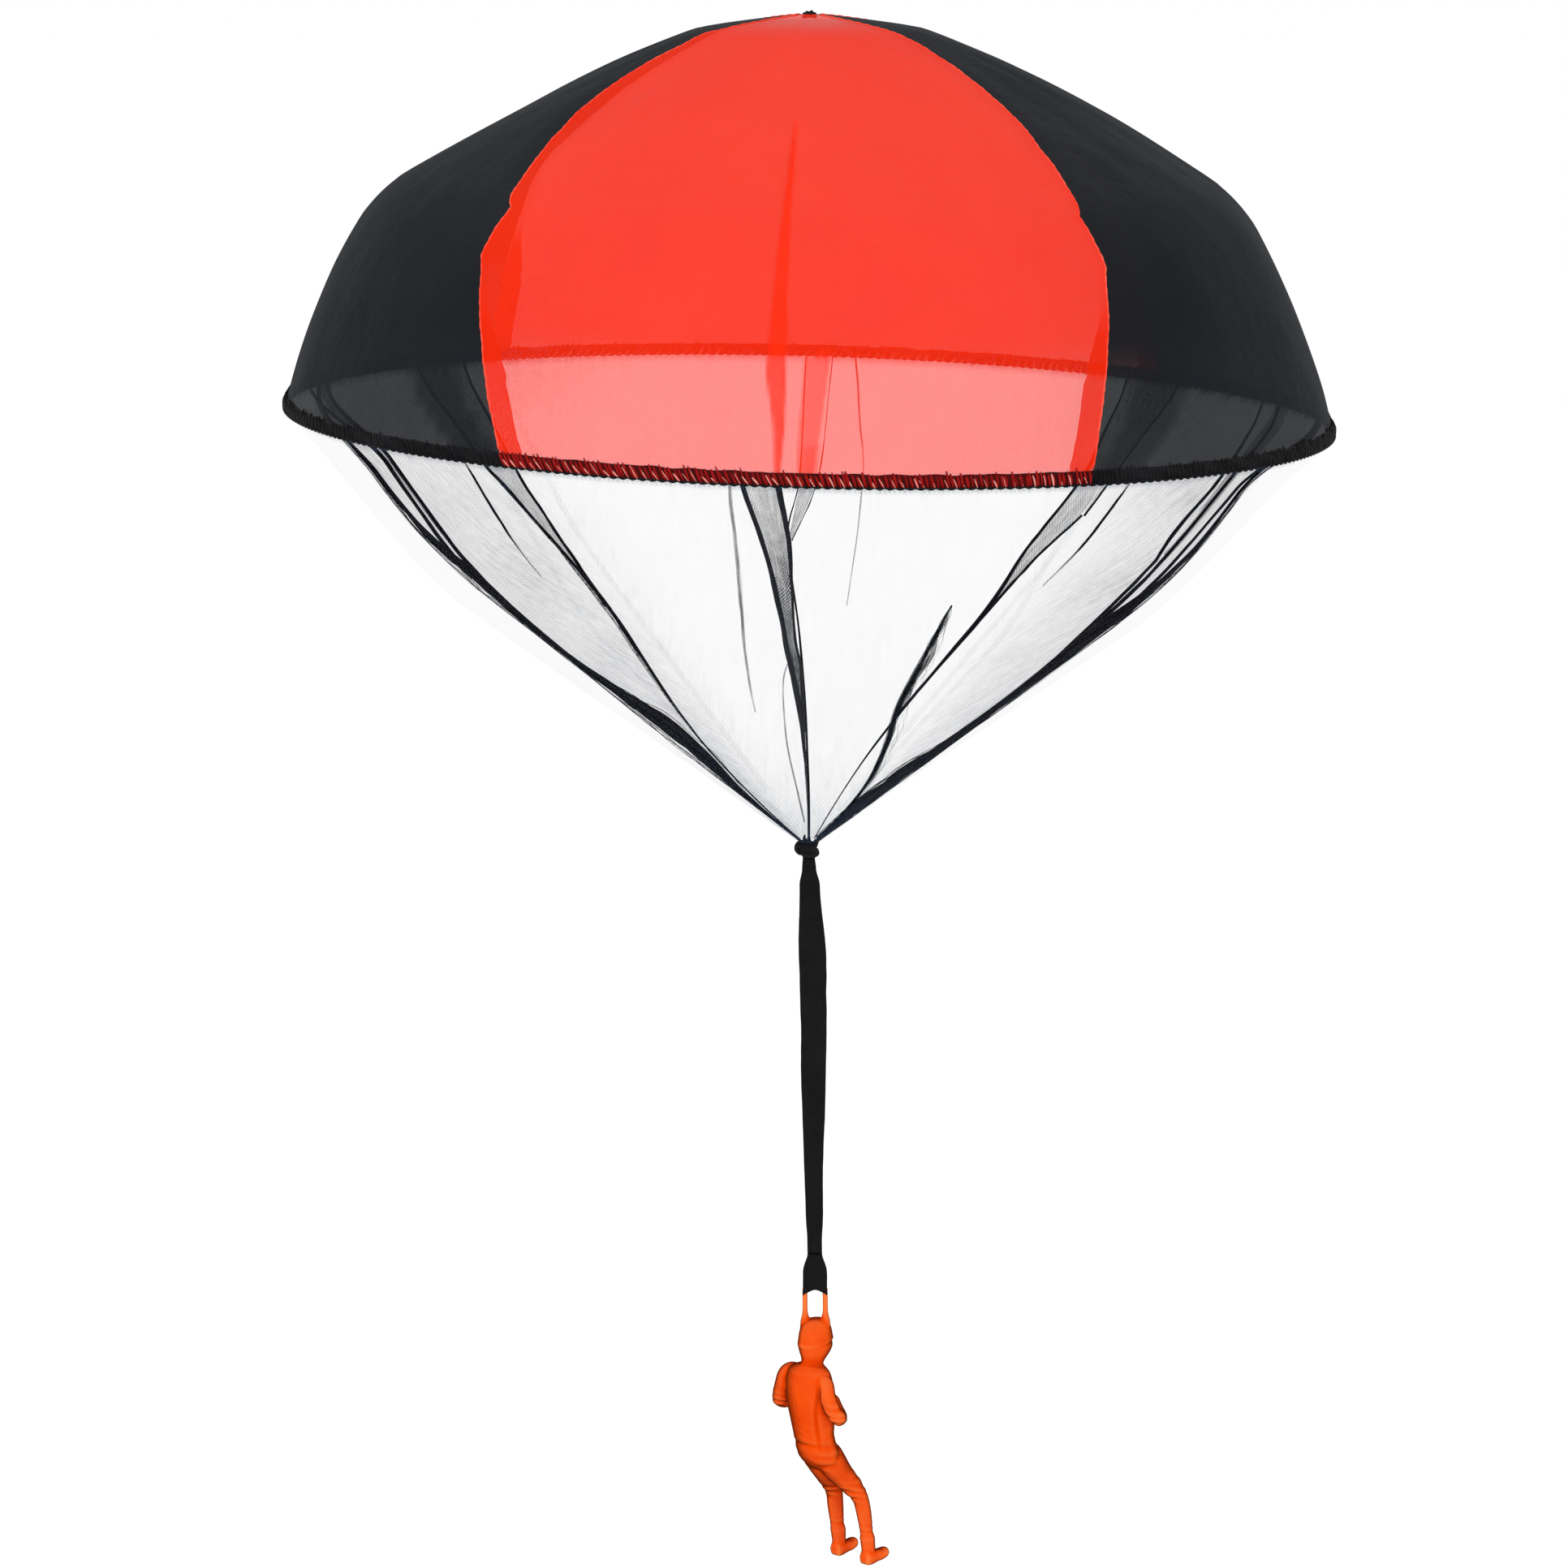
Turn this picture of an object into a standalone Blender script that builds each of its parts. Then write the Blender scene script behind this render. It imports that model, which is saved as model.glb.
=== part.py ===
"""Toy parachute: a four-gore cloth canopy, a net skirt in place of strings, a ribbon strap and a moulded figure.

The origin is the apex of the canopy, +Z is up, -Y is the front and +X the right. The canopy and the net are
worked out from the lines that a seam follows, walked down from the apex as stretches of cloth with a slope at
each end, so every width and height below them follows. Azimuths are degrees round +Z from the front, the right
side being 90.
"""

import math

import bmesh
import bpy
from mathutils import Vector

# Clearance between pieces that touch on the real toy, and cloth thicknesses
GAP = 0.0003
CLOTH = 0.0007
NET_CLOTH = 0.0005
MERGE_DISTANCE = 0.00003

# A seam from the apex to the rim: the length of each stretch, with the slope at its ends in degrees
CROWN = 0.0356
CROWN_SLOPES = (5, 10)
CROWN_TURN = 0.0080
CROWN_TURN_SLOPES = (10, 21)
CONE = 0.1047
CONE_SLOPES = (21, 33)
SHOULDER = 0.0260
SHOULDER_SLOPES = (33, 59)
SKIRT = 0.0705
SKIRT_SLOPES = (59, 77)
CANOPY_STRETCHES = (
    (CROWN, CROWN_SLOPES, 3),
    (CROWN_TURN, CROWN_TURN_SLOPES, 1),
    (CONE, CONE_SLOPES, 4),
    (SHOULDER, SHOULDER_SLOPES, 4),
    (SKIRT, SKIRT_SLOPES, 4),
)
GORE_COLUMNS = 12

# The front seams run wide over the crown, close in over the cone and again below the shoulder
CANOPY_TURN = -2.5
FRONT_LEFT_SEAM_AT_CROWN = 60
FRONT_RIGHT_SEAM_AT_CROWN = 53
FRONT_SEAM_AT_SHOULDER = 40.7
FRONT_SEAM_AT_RIM = 32
BACK_SEAM_AT_CROWN = 133
BACK_SEAM_AT_SHOULDER = 136
BACK_SEAM_AT_RIM = 137
SEAM_BEND_START_ROW = 4
SEAM_BEND_ROWS = 5
RIM_LEAN = 1.56

# Apex thread and the seams inside the canopy
APEX_HOLE_RADIUS = 0.0020
APEX_STEM_RADIUS = 0.0014
APEX_BUTTON_RADIUS = 0.0030
APEX_BUTTON_HEIGHT = 0.0009
APEX_SEGMENTS = 16
# The upper and lower button, each as shares of its radius and height from its pole
APEX_UPPER_SHARES = ((0, 1), (0.6, 0.85), (1, 0.4), (1, 0))
APEX_LOWER_SHARES = ((1, 0), (0.8, 0.7), (0, 1))
SEAM_WIDTH = 0.0085
SEAM_CLOTH = 0.0006
SEAM_START_RADIUS = 0.0140
SEAM_END_CLEARANCE = 0.0010

# Hem band outside the lower edge of each gore
HEM_DEPTH = 0.0045
HEM_CLOTH = 0.0007

# A fold line of the net from the rim to the knot, as the canopy's
NET_TOP_INSET = 0.00115
NET_DROP = 0.0140
NET_DROP_SLOPES = (66, 49)
NET_BELLY = 0.0460
NET_BELLY_SLOPES = (50, 47.5)
NET_TURN = 0.0300
NET_TURN_SLOPES = (47, 36)
NET_FALL_SLOPES = (36, 36)
NET_END_RADIUS = 0.0040
NET_ROWS = (2, 3, 2, 6)
FRONT_PLEAT = 0
SIDE_PLEATS = (67.5, 112.5)
BACK_PLEAT = 180
BAY_COLUMNS = 3
PLEAT_MOUTH = 0.0050
PLEAT_DEPTH = 0.0060
PLEAT_START = 0.0250
CHORD_START = 0.0300
NET_SEAM_WIDTH = 0.0028
NET_SEAM_GAP = 0.0008
NET_SEAM_INSET = 0.0011
NET_SEAM_END_RADIUS = 0.0120

# Knot, strap and the bight that goes round the bar of the loop
KNOT_RADIUS = 0.0042
KNOT_FURROW = 0.0006
KNOT_WRAPS = 3
KNOT_STEPS = 14
KNOT_SEGMENTS = 20
STRAP_LENGTH = 0.1416
STRAP_CLOTH = 0.0007
STRAP_SHIFT = 0.0023
STRAP_TOP_WIDTH = 0.0046
STRAP_CHEST_WIDTH = 0.0072
STRAP_FULL_WIDTH = 0.0096
STRAP_LOW_WIDTH = 0.0064
STRAP_NECK_WIDTH = 0.0046
# Each ply: how far down, and its width; the shares are of the strap's length
STRAP_PLACE_SHARES = (0.0, 0.07, 0.22, 0.5, 0.78, 0.94, 1.0)
STRAP_WIDTHS = (
    STRAP_TOP_WIDTH,
    STRAP_CHEST_WIDTH,
    STRAP_FULL_WIDTH,
    STRAP_FULL_WIDTH,
    STRAP_LOW_WIDTH,
    STRAP_NECK_WIDTH,
    STRAP_NECK_WIDTH,
)
PLY_OFFSET = 0.0006
STRAP_ROWS = 16
ACROSS_SHARES = (-1, -0.5, 0, 0.5, 1)
BIGHT_FALL = 0.0114
BIGHT_WIDTH = 0.0088
BIGHT_BULGE = 0.0028
BIGHT_CLOTH = 0.0006
BIGHT_THROAT_CLEARANCE = 0.0006
# How far down the bight each row lies, where it is widest and where it narrows to pass through the loop
BIGHT_PLACE_SHARES = (0, 0.17, 0.36, 0.55, 0.73, 0.89, 1)
BIGHT_WIDEST_SHARE = 0.73
BIGHT_UNDER_STEPS = 6

# Loop over the figure's head
BAR_RADIUS = 0.00095
LOOP_HALF_WIDTH = 0.0036
LOOP_CORNER = 0.0016
LOOP_DROP = 0.0111
LOOP_SINK = 0.0045
LOOP_CORNER_STEPS = 4

# Figure: its height and the place of its upright axis beside the loop
FIGURE_HEIGHT = 0.0933
FIGURE_TURN = 45
FIGURE_SIDE = -0.0008
FIGURE_DEPTH = -0.0034

# Stations of the figure as shares of its height, in this order: forward, drop from the crown of the helmet,
# half width, half depth
HELMET_SHARES = (
    (0.014, 0.000, 0.008, 0.010),
    (0.014, 0.006, 0.030, 0.036),
    (0.014, 0.022, 0.046, 0.056),
    (0.014, 0.047, 0.056, 0.067),
    (0.014, 0.070, 0.060, 0.071),
    (0.014, 0.082, 0.061, 0.073),
    (0.014, 0.087, 0.065, 0.077),
    (0.014, 0.094, 0.064, 0.076),
    (0.014, 0.098, 0.052, 0.062),
)
HELMET_TILT_SHARE = 0.20
HEAD_SHARES = (
    (0.016, 0.060, 0.028, 0.036),
    (0.016, 0.080, 0.046, 0.056),
    (0.015, 0.102, 0.053, 0.063),
    (0.012, 0.130, 0.048, 0.055),
    (0.004, 0.158, 0.042, 0.044),
    (-0.005, 0.176, 0.043, 0.044),
    (-0.012, 0.205, 0.046, 0.048),
)
FACE_SHARES = (
    (0.052, 0.112, 0.020, 0.024),
    (0.057, 0.128, 0.014, 0.022),
    (0.055, 0.142, 0.018, 0.019),
    (0.046, 0.158, 0.021, 0.022),
    (0.036, 0.168, 0.014, 0.018),
)
TORSO_SHARES = (
    (-0.010, 0.176, 0.048, 0.044),
    (-0.013, 0.188, 0.078, 0.050),
    (-0.017, 0.206, 0.100, 0.058),
    (-0.018, 0.252, 0.110, 0.069),
    (-0.012, 0.320, 0.108, 0.075),
    (-0.003, 0.395, 0.098, 0.072),
    (0.004, 0.455, 0.090, 0.067),
    (0.007, 0.463, 0.095, 0.071),
    (0.011, 0.478, 0.095, 0.071),
    (0.015, 0.486, 0.090, 0.068),
    (0.029, 0.530, 0.090, 0.072),
    (0.047, 0.572, 0.080, 0.067),
    (0.064, 0.602, 0.054, 0.048),
)
# Limbs also have how far they stand to the side, after the forward share
LEG_SHARES = (
    (0.030, 0.030, 0.494, 0.026, 0.034),
    (0.040, 0.035, 0.530, 0.046, 0.056),
    (0.074, 0.035, 0.580, 0.049, 0.058),
    (0.118, 0.039, 0.634, 0.046, 0.053),
    (0.168, 0.053, 0.692, 0.041, 0.044),
    (0.199, 0.064, 0.744, 0.037, 0.038),
    (0.212, 0.072, 0.810, 0.033, 0.036),
    (0.220, 0.077, 0.880, 0.027, 0.029),
    (0.224, 0.078, 0.912, 0.030, 0.032),
    (0.228, 0.079, 0.955, 0.027, 0.029),
    (0.230, 0.079, 0.984, 0.024, 0.026),
)
BOOT_SHARES = (
    (-0.029, 0.079, 0.980, 0.015, 0.016),
    (-0.025, 0.079, 0.982, 0.026, 0.032),
    (0.000, 0.080, 0.984, 0.029, 0.035),
    (0.028, 0.081, 0.986, 0.029, 0.029),
    (0.056, 0.082, 0.989, 0.032, 0.023),
    (0.080, 0.083, 0.986, 0.029, 0.019),
    (0.092, 0.083, 0.982, 0.016, 0.012),
)
BOOT_FORWARD_SHARE = 0.228
BOOT_PITCH = 6
SOLE_SHARE = -0.7
ARM_SHARES = (
    (-0.016, 0.050, 0.226, 0.018, 0.022),
    (-0.019, 0.074, 0.228, 0.030, 0.035),
    (-0.023, 0.100, 0.242, 0.037, 0.042),
    (-0.024, 0.123, 0.290, 0.036, 0.039),
    (-0.020, 0.144, 0.340, 0.034, 0.035),
    (-0.008, 0.155, 0.370, 0.031, 0.031),
    (0.020, 0.140, 0.372, 0.029, 0.028),
    (0.060, 0.096, 0.340, 0.027, 0.026),
    (0.084, 0.060, 0.314, 0.025, 0.026),
    (0.096, 0.042, 0.301, 0.014, 0.016),
)
LIMB_POINTS = 12
TORSO_POINTS = 16
LOOP_POINTS = 10


def material(name, colour, roughness):
    """A Principled material with the colour and roughness of one of the toy's stuffs."""
    made = bpy.data.materials.new(name)
    made.use_nodes = True
    shader = made.node_tree.nodes["Principled BSDF"]
    shader.inputs["Base Color"].default_value = (*colour, 1)
    shader.inputs["Roughness"].default_value = roughness
    return made


def add_object(name, mesh, stuff, parent=None):
    """Links a mesh into the scene under its parent, shaded smooth, with one material."""
    made = bpy.data.objects.new(name, mesh)
    mesh.materials.append(stuff)
    mesh.shade_smooth()
    made.parent = parent
    bpy.context.scene.collection.objects.link(made)
    return made


def add_pivot(name, place, parent=None):
    """An empty on a joint's axis. The place is measured from the parent's."""
    pivot = bpy.data.objects.new(name, None)
    pivot.location = place
    pivot.parent = parent
    bpy.context.scene.collection.objects.link(pivot)
    return pivot


def walk(radius, height, stretches, outward):
    """Points (radius, height) down a line of cloth, row by row, from its stretches and their slopes."""
    line = [Vector((radius, height))]
    for length, (slope_above, slope_below), rows in stretches:
        for row in range(rows):
            slope = math.radians(slope_above + (slope_below - slope_above) * (row + 0.5) / rows)
            step = Vector((outward * math.cos(slope), -math.sin(slope))) * (length / rows)
            line.append(line[-1] + step)
    return line


def blend(low, high, share):
    """The value that lies a share of the way from low to high."""
    return low + (high - low) * share


def ease(share):
    """A share from 0 to 1 that starts and ends gently."""
    held = min(max(share, 0), 1)
    return held * held * (3 - 2 * held)


def on_line(line, row):
    """The point of a line at a row that may lie between two of its points."""
    held = min(max(row, 0), len(line) - 1)
    first = min(int(held), len(line) - 2)
    return line[first].lerp(line[first + 1], held - first)


# The meridian of the canopy starts at the edge of the hole that the apex thread fills
CANOPY_LINE = walk(0, 0, CANOPY_STRETCHES, 1)
CANOPY_ROWS = len(CANOPY_LINE) - 1
CANOPY_LENGTH = sum(length for length, slopes, rows in CANOPY_STRETCHES)
SHOULDER_ROW = CANOPY_ROWS - CANOPY_STRETCHES[-1][2]
RIM_RADIUS, RIM_HEIGHT = CANOPY_LINE[-1]
FIRST_ROW = APEX_HOLE_RADIUS / CANOPY_LINE[1].x
SKIRT_ROW = SKIRT / CANOPY_STRETCHES[-1][2]
HEM_ROW = CANOPY_ROWS - HEM_DEPTH / SKIRT_ROW
SEAM_END_ROW = HEM_ROW - SEAM_END_CLEARANCE / SKIRT_ROW

# The net hangs from inside the rim, and its last stretch reaches the knot
NET_TOP_RADIUS = RIM_RADIUS - CLOTH - GAP
NET_UPPER = ((NET_DROP, NET_DROP_SLOPES, NET_ROWS[0]), (NET_BELLY, NET_BELLY_SLOPES, NET_ROWS[1]))
NET_UPPER += ((NET_TURN, NET_TURN_SLOPES, NET_ROWS[2]),)
NET_TURN_END = walk(NET_TOP_RADIUS, RIM_HEIGHT, NET_UPPER, -1)[-1]
NET_FALL = (NET_TURN_END.x - NET_END_RADIUS) / math.cos(math.radians(NET_FALL_SLOPES[0]))
NET_STRETCHES = (*NET_UPPER, (NET_FALL, NET_FALL_SLOPES, NET_ROWS[3]))
NET_LINE = walk(NET_TOP_RADIUS, RIM_HEIGHT, NET_STRETCHES, -1)
NET_LENGTH = sum(length for length, slopes, rows in NET_STRETCHES)
NET_END_HEIGHT = NET_LINE[-1].y

# The knot fills the end of the net: its centre lies where its ball clears the inner edge of the net
KNOT_REACH = KNOT_RADIUS + GAP + NET_CLOTH
KNOT_CENTRE = Vector((0, 0, NET_END_HEIGHT - math.sqrt(KNOT_REACH**2 - NET_END_RADIUS**2)))
STRAP_TOP = Vector((0, 0, -KNOT_RADIUS - GAP))
NECK_CENTRE = Vector((STRAP_SHIFT, 0, STRAP_TOP.z - STRAP_LENGTH))
LOOP_CENTRE = Vector((0, 0, -GAP - BIGHT_FALL))


def lean(point):
    """Tips the rim to the right, fading out to the apex above it and to the knot below it."""
    if point.z > RIM_HEIGHT:
        share = point.z / RIM_HEIGHT
    else:
        share = (point.z - NET_END_HEIGHT) / (RIM_HEIGHT - NET_END_HEIGHT)
    return point - Vector((0, 0, point.x * math.tan(math.radians(RIM_LEAN)) * share))


def around(azimuth, radius, height):
    """A point at an azimuth in degrees, before the rim is tipped."""
    angle = math.radians(azimuth + CANOPY_TURN)
    return Vector((radius * math.sin(angle), -radius * math.cos(angle), height))


def seam_azimuth(at_crown, at_shoulder, at_rim, row):
    """Where a seam lies at a row: it bends over the cone and runs straight below the shoulder."""
    if row < SHOULDER_ROW:
        return blend(at_crown, at_shoulder, ease((row - SEAM_BEND_START_ROW) / SEAM_BEND_ROWS))
    return blend(at_shoulder, at_rim, (row - SHOULDER_ROW) / (CANOPY_ROWS - SHOULDER_ROW))


def front_right_seam(row):
    """The azimuth of the right-hand front seam."""
    return seam_azimuth(FRONT_RIGHT_SEAM_AT_CROWN, FRONT_SEAM_AT_SHOULDER, FRONT_SEAM_AT_RIM, row)


def front_left_seam(row):
    """The azimuth of the left-hand front seam, counted to the left."""
    return seam_azimuth(FRONT_LEFT_SEAM_AT_CROWN, FRONT_SEAM_AT_SHOULDER, FRONT_SEAM_AT_RIM, row)


def back_seam(row):
    """The azimuth of the right-hand back seam; the left-hand one mirrors it."""
    return seam_azimuth(BACK_SEAM_AT_CROWN, BACK_SEAM_AT_SHOULDER, BACK_SEAM_AT_RIM, row)


class Gore:
    """One of the four gores, between two seams, as straight facets between its columns of points."""

    def __init__(self, name, first_seam, last_seam, folds):
        self.name = name
        self.first_seam = first_seam
        self.last_seam = last_seam
        self.folds = folds

    def ends(self, row):
        """The azimuths of the gore's two edges at a row, each drawn back by half the gap in the seam."""
        radius = on_line(CANOPY_LINE, row).x
        half_gap = math.degrees(GAP / 2 / radius)
        return self.first_seam(row) + half_gap, self.last_seam(row) - half_gap

    def point(self, across, row):
        """A point of the cloth's outer face: across runs from 0 to 1 between the seams."""
        radius, height = on_line(CANOPY_LINE, row)
        first, last = self.ends(row)
        column = min(int(across * GORE_COLUMNS), GORE_COLUMNS - 1)
        left = around(blend(first, last, column / GORE_COLUMNS), radius, height)
        right = around(blend(first, last, (column + 1) / GORE_COLUMNS), radius, height)
        return lean(left.lerp(right, across * GORE_COLUMNS - column))

    def across_at(self, azimuth, row):
        """How far across the gore an azimuth lies at a row."""
        first, last = self.ends(row)
        return min(max((azimuth - first) / (last - first), 0), 1)


def mirrored(seam):
    """The same seam on the left-hand side."""
    return lambda row: -seam(row)


def turned(seam):
    """A left-hand seam counted on past the back, so that a gore's azimuths rise across it."""
    return lambda row: 360 - seam(row)


FRONT_GORE = Gore("front", mirrored(front_left_seam), front_right_seam, (FRONT_PLEAT,))
RIGHT_GORE = Gore("right", front_right_seam, back_seam, SIDE_PLEATS)
BACK_GORE = Gore("back", back_seam, turned(back_seam), (BACK_PLEAT,))
LEFT_FOLDS = tuple(360 - fold for fold in reversed(SIDE_PLEATS))
LEFT_GORE = Gore("left", turned(back_seam), turned(front_left_seam), LEFT_FOLDS)
GORES = (FRONT_GORE, RIGHT_GORE, BACK_GORE, LEFT_GORE)


def sheet(name, rows_of_points, inset, thickness, stuff, parent=None):
    """A closed piece of cloth: a grid on the given rows of points, set in from them and given its thickness.

    Rows run downwards and points from left to right as seen from outside, so that inset and thickness both
    go inwards.
    """
    shape = bmesh.new()
    grid = [[shape.verts.new(point) for point in row] for row in rows_of_points]
    for above, below in zip(grid, grid[1:]):
        for index in range(len(above) - 1):
            shape.faces.new((above[index], below[index], below[index + 1], above[index + 1]))
    shape.normal_update()
    for vertex, normal in [(vertex, vertex.normal.copy()) for vertex in shape.verts]:
        vertex.co -= normal * inset
    mesh = bpy.data.meshes.new(name)
    shape.to_mesh(mesh)
    shape.free()
    made = add_object(name, mesh, stuff, parent)
    wall = made.modifiers.new("thickness", "SOLIDIFY")
    wall.thickness = thickness
    wall.offset = -1
    wall.use_even_offset = True
    return made


def loft(name, rings, stuff, parent=None):
    """A closed body through rings of points, with flat ends."""
    shape = bmesh.new()
    loops = [[shape.verts.new(point) for point in ring] for ring in rings]
    count = len(loops[0])
    for above, below in zip(loops, loops[1:]):
        for index in range(count):
            after = (index + 1) % count
            shape.faces.new((above[index], above[after], below[after], below[index]))
    shape.faces.new(loops[0])
    shape.faces.new(loops[-1])
    bmesh.ops.triangulate(shape, faces=shape.faces)
    bmesh.ops.recalc_face_normals(shape, faces=shape.faces)
    mesh = bpy.data.meshes.new(name)
    shape.to_mesh(mesh)
    shape.free()
    return add_object(name, mesh, stuff, parent)


def turned_body(name, profile, segments, stuff, parent=None):
    """A body of revolution about the upright axis, from a profile of (radius, height) that starts on it."""
    shape = bmesh.new()
    outline = [shape.verts.new((radius, 0, height)) for radius, height in profile]
    edges = [shape.edges.new(pair) for pair in zip(outline, outline[1:])]
    bmesh.ops.spin(
        shape,
        geom=outline + edges,
        axis=(0, 0, 1),
        cent=(0, 0, 0),
        angle=math.tau,
        steps=segments,
        use_merge=True,
    )
    bmesh.ops.remove_doubles(shape, verts=shape.verts, dist=MERGE_DISTANCE)
    bmesh.ops.recalc_face_normals(shape, faces=shape.faces)
    mesh = bpy.data.meshes.new(name)
    shape.to_mesh(mesh)
    shape.free()
    return add_object(name, mesh, stuff, parent)


def build_canopy(gore, stuff):
    """The gore's own cloth, from the apex thread to the rim."""
    rows = (FIRST_ROW, *range(1, CANOPY_ROWS), HEM_ROW, CANOPY_ROWS)
    shares = [column / GORE_COLUMNS for column in range(GORE_COLUMNS + 1)]
    points = [[gore.point(share, row) for share in shares] for row in rows]
    sheet(f"canopy_panel_{gore.name}", points, 0, CLOTH, stuff)


def build_seam(gore, side, other, stuff):
    """The turned-in allowance of a seam: a band under the edge of a red gore, above the hem."""
    start = next(row for row in range(CANOPY_ROWS) if CANOPY_LINE[row].x > SEAM_START_RADIUS)
    points = []
    for row in (*range(start, CANOPY_ROWS), SEAM_END_ROW):
        first, last = gore.ends(row)
        width = math.degrees(SEAM_WIDTH / on_line(CANOPY_LINE, row).x) / (last - first)
        if side == "first":
            points.append([gore.point(0, row), gore.point(width / 2, row), gore.point(width, row)])
        else:
            points.append([gore.point(1 - width, row), gore.point(1 - width / 2, row), gore.point(1, row)])
    sheet(f"canopy_seam_{gore.name}_{other}", points, CLOTH + GAP, SEAM_CLOTH, stuff)


def build_hem(gore, stuff):
    """The overlocked band outside the lower edge of a gore."""
    shares = [column / GORE_COLUMNS for column in range(GORE_COLUMNS + 1)]
    points = [[gore.point(share, row) for share in shares] for row in (HEM_ROW, CANOPY_ROWS)]
    sheet(f"hem_{gore.name}", points, -GAP - HEM_CLOTH, HEM_CLOTH, stuff)


def build_apex_knot(stuff):
    """The thread that ties the points of the four gores: a stem with a button above and below the cloth."""
    top = GAP
    under = CANOPY_LINE[1].y * APEX_BUTTON_RADIUS / CANOPY_LINE[1].x - CLOTH - GAP
    profile = [(APEX_BUTTON_RADIUS * wide, top + APEX_BUTTON_HEIGHT * tall) for wide, tall in APEX_UPPER_SHARES]
    profile += [(APEX_STEM_RADIUS, top), (APEX_STEM_RADIUS, under)]
    profile += [(APEX_BUTTON_RADIUS * wide, under - APEX_BUTTON_HEIGHT * tall) for wide, tall in APEX_LOWER_SHARES]
    turned_body("apex_thread_knot", profile, APEX_SEGMENTS, stuff)


def bay_edges(gore):
    """The azimuths between which the net of a gore is stretched: its seams and its folds."""
    return [gore.first_seam(CANOPY_ROWS), *gore.folds, gore.last_seam(CANOPY_ROWS)]


def net_columns(gore):
    """Azimuth, bay and place in a fold for each column of a net panel.

    The last value is -1 and 1 at the two lips of a fold, 0 at its tip and None between folds.
    """
    edges = bay_edges(gore)
    columns = []
    for bay, (start, end) in enumerate(zip(edges, edges[1:])):
        if bay > 0:
            columns.append((start, bay, 1))
        for step in range(0 if bay == 0 else 1, BAY_COLUMNS):
            columns.append((blend(start, end, step / BAY_COLUMNS), bay, None))
        if bay < len(edges) - 2:
            columns.append((end, bay, -1))
            columns.append((end, bay, 0))
        else:
            columns.append((end, bay, None))
    return columns


def net_point(gore, column, row):
    """A point of the net's outer face below the rim, flat between folds and tucked in at each fold."""
    azimuth, bay, place = column
    edges = bay_edges(gore)
    radius, height = NET_LINE[row]
    done = sum(NET_STEPS[:row])
    middle = (edges[bay] + edges[bay + 1]) / 2
    half = (edges[bay + 1] - edges[bay]) / 2
    flat = math.cos(math.radians(half)) / math.cos(math.radians(azimuth - middle))
    reach = radius * blend(1, flat, ease(done / CHORD_START))
    if azimuth == edges[0]:
        azimuth += math.degrees(NET_SEAM_GAP / 2 / radius)
    elif azimuth == edges[-1]:
        azimuth -= math.degrees(NET_SEAM_GAP / 2 / radius)
    drawn = ease(done / PLEAT_START) * ease((NET_LENGTH - done) / PLEAT_START) * math.sqrt(radius / RIM_RADIUS)
    if place == 0:
        reach -= PLEAT_DEPTH * drawn
    elif place is not None:
        mouth = max(PLEAT_MOUTH * drawn, GAP)
        azimuth += math.degrees(place * mouth / 2 / radius)
    return lean(around(azimuth, reach, height))


NET_STEPS = [length / rows for length, slopes, rows in NET_STRETCHES for step in range(rows)]


def build_net(gore, stuff):
    """A net panel: its top edge lies inside the rim, and the rest runs down to the knot."""
    columns = net_columns(gore)
    rows = []
    for row in (HEM_ROW, CANOPY_ROWS):
        line = []
        for azimuth, bay, place in columns:
            shift = math.degrees((place or 0) * GAP / 2 / RIM_RADIUS)
            point = gore.point(gore.across_at(azimuth + shift, row), row)
            line.append(point - Vector((point.x, point.y, 0)).normalized() * NET_TOP_INSET)
        rows.append(line)
    for row in range(1, len(NET_LINE)):
        rows.append([net_point(gore, column, row) for column in columns])
    sheet(f"net_panel_{gore.name}", rows, 0, NET_CLOTH, stuff)


def build_net_seam(gore, next_gore, stuff):
    """The sewn line where two net panels join: a narrow band inside them, down to just above the knot."""
    azimuth = (bay_edges(gore)[-1] + bay_edges(next_gore)[0] + (360 if gore is LEFT_GORE else 0)) / 2
    rows = []
    for row in range(1, len(NET_LINE)):
        radius, height = NET_LINE[row]
        if radius < NET_SEAM_END_RADIUS:
            break
        half = NET_SEAM_WIDTH / 2
        middle = lean(around(azimuth, radius, height))
        angle = math.radians(azimuth + CANOPY_TURN)
        side = Vector((math.cos(angle), math.sin(angle), 0))
        rows.append([middle - side * half, middle, middle + side * half])
    sheet(f"net_seam_{gore.name}_{next_gore.name}", rows, NET_SEAM_INSET, NET_CLOTH, stuff)


def build_knot(stuff, pivot):
    """The knot round the gathered net: a ball with two furrows where its wraps lie side by side."""
    profile = []
    for step in range(KNOT_STEPS + 1):
        angle = math.pi * step / KNOT_STEPS
        furrow = KNOT_FURROW * (1 - abs(math.cos(angle * KNOT_WRAPS))) if 0 < step < KNOT_STEPS else 0
        radius = KNOT_RADIUS - furrow
        profile.append((radius * math.sin(angle), radius * math.cos(angle)))
    turned_body("gather_knot", profile, KNOT_SEGMENTS, stuff, pivot)


def strap_width(share):
    """The strap's width at a share of its length."""
    for index in range(len(STRAP_PLACE_SHARES) - 1):
        start, end = STRAP_PLACE_SHARES[index], STRAP_PLACE_SHARES[index + 1]
        if share <= end:
            return blend(STRAP_WIDTHS[index], STRAP_WIDTHS[index + 1], ease((share - start) / (end - start)))
    return STRAP_WIDTHS[-1]


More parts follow.
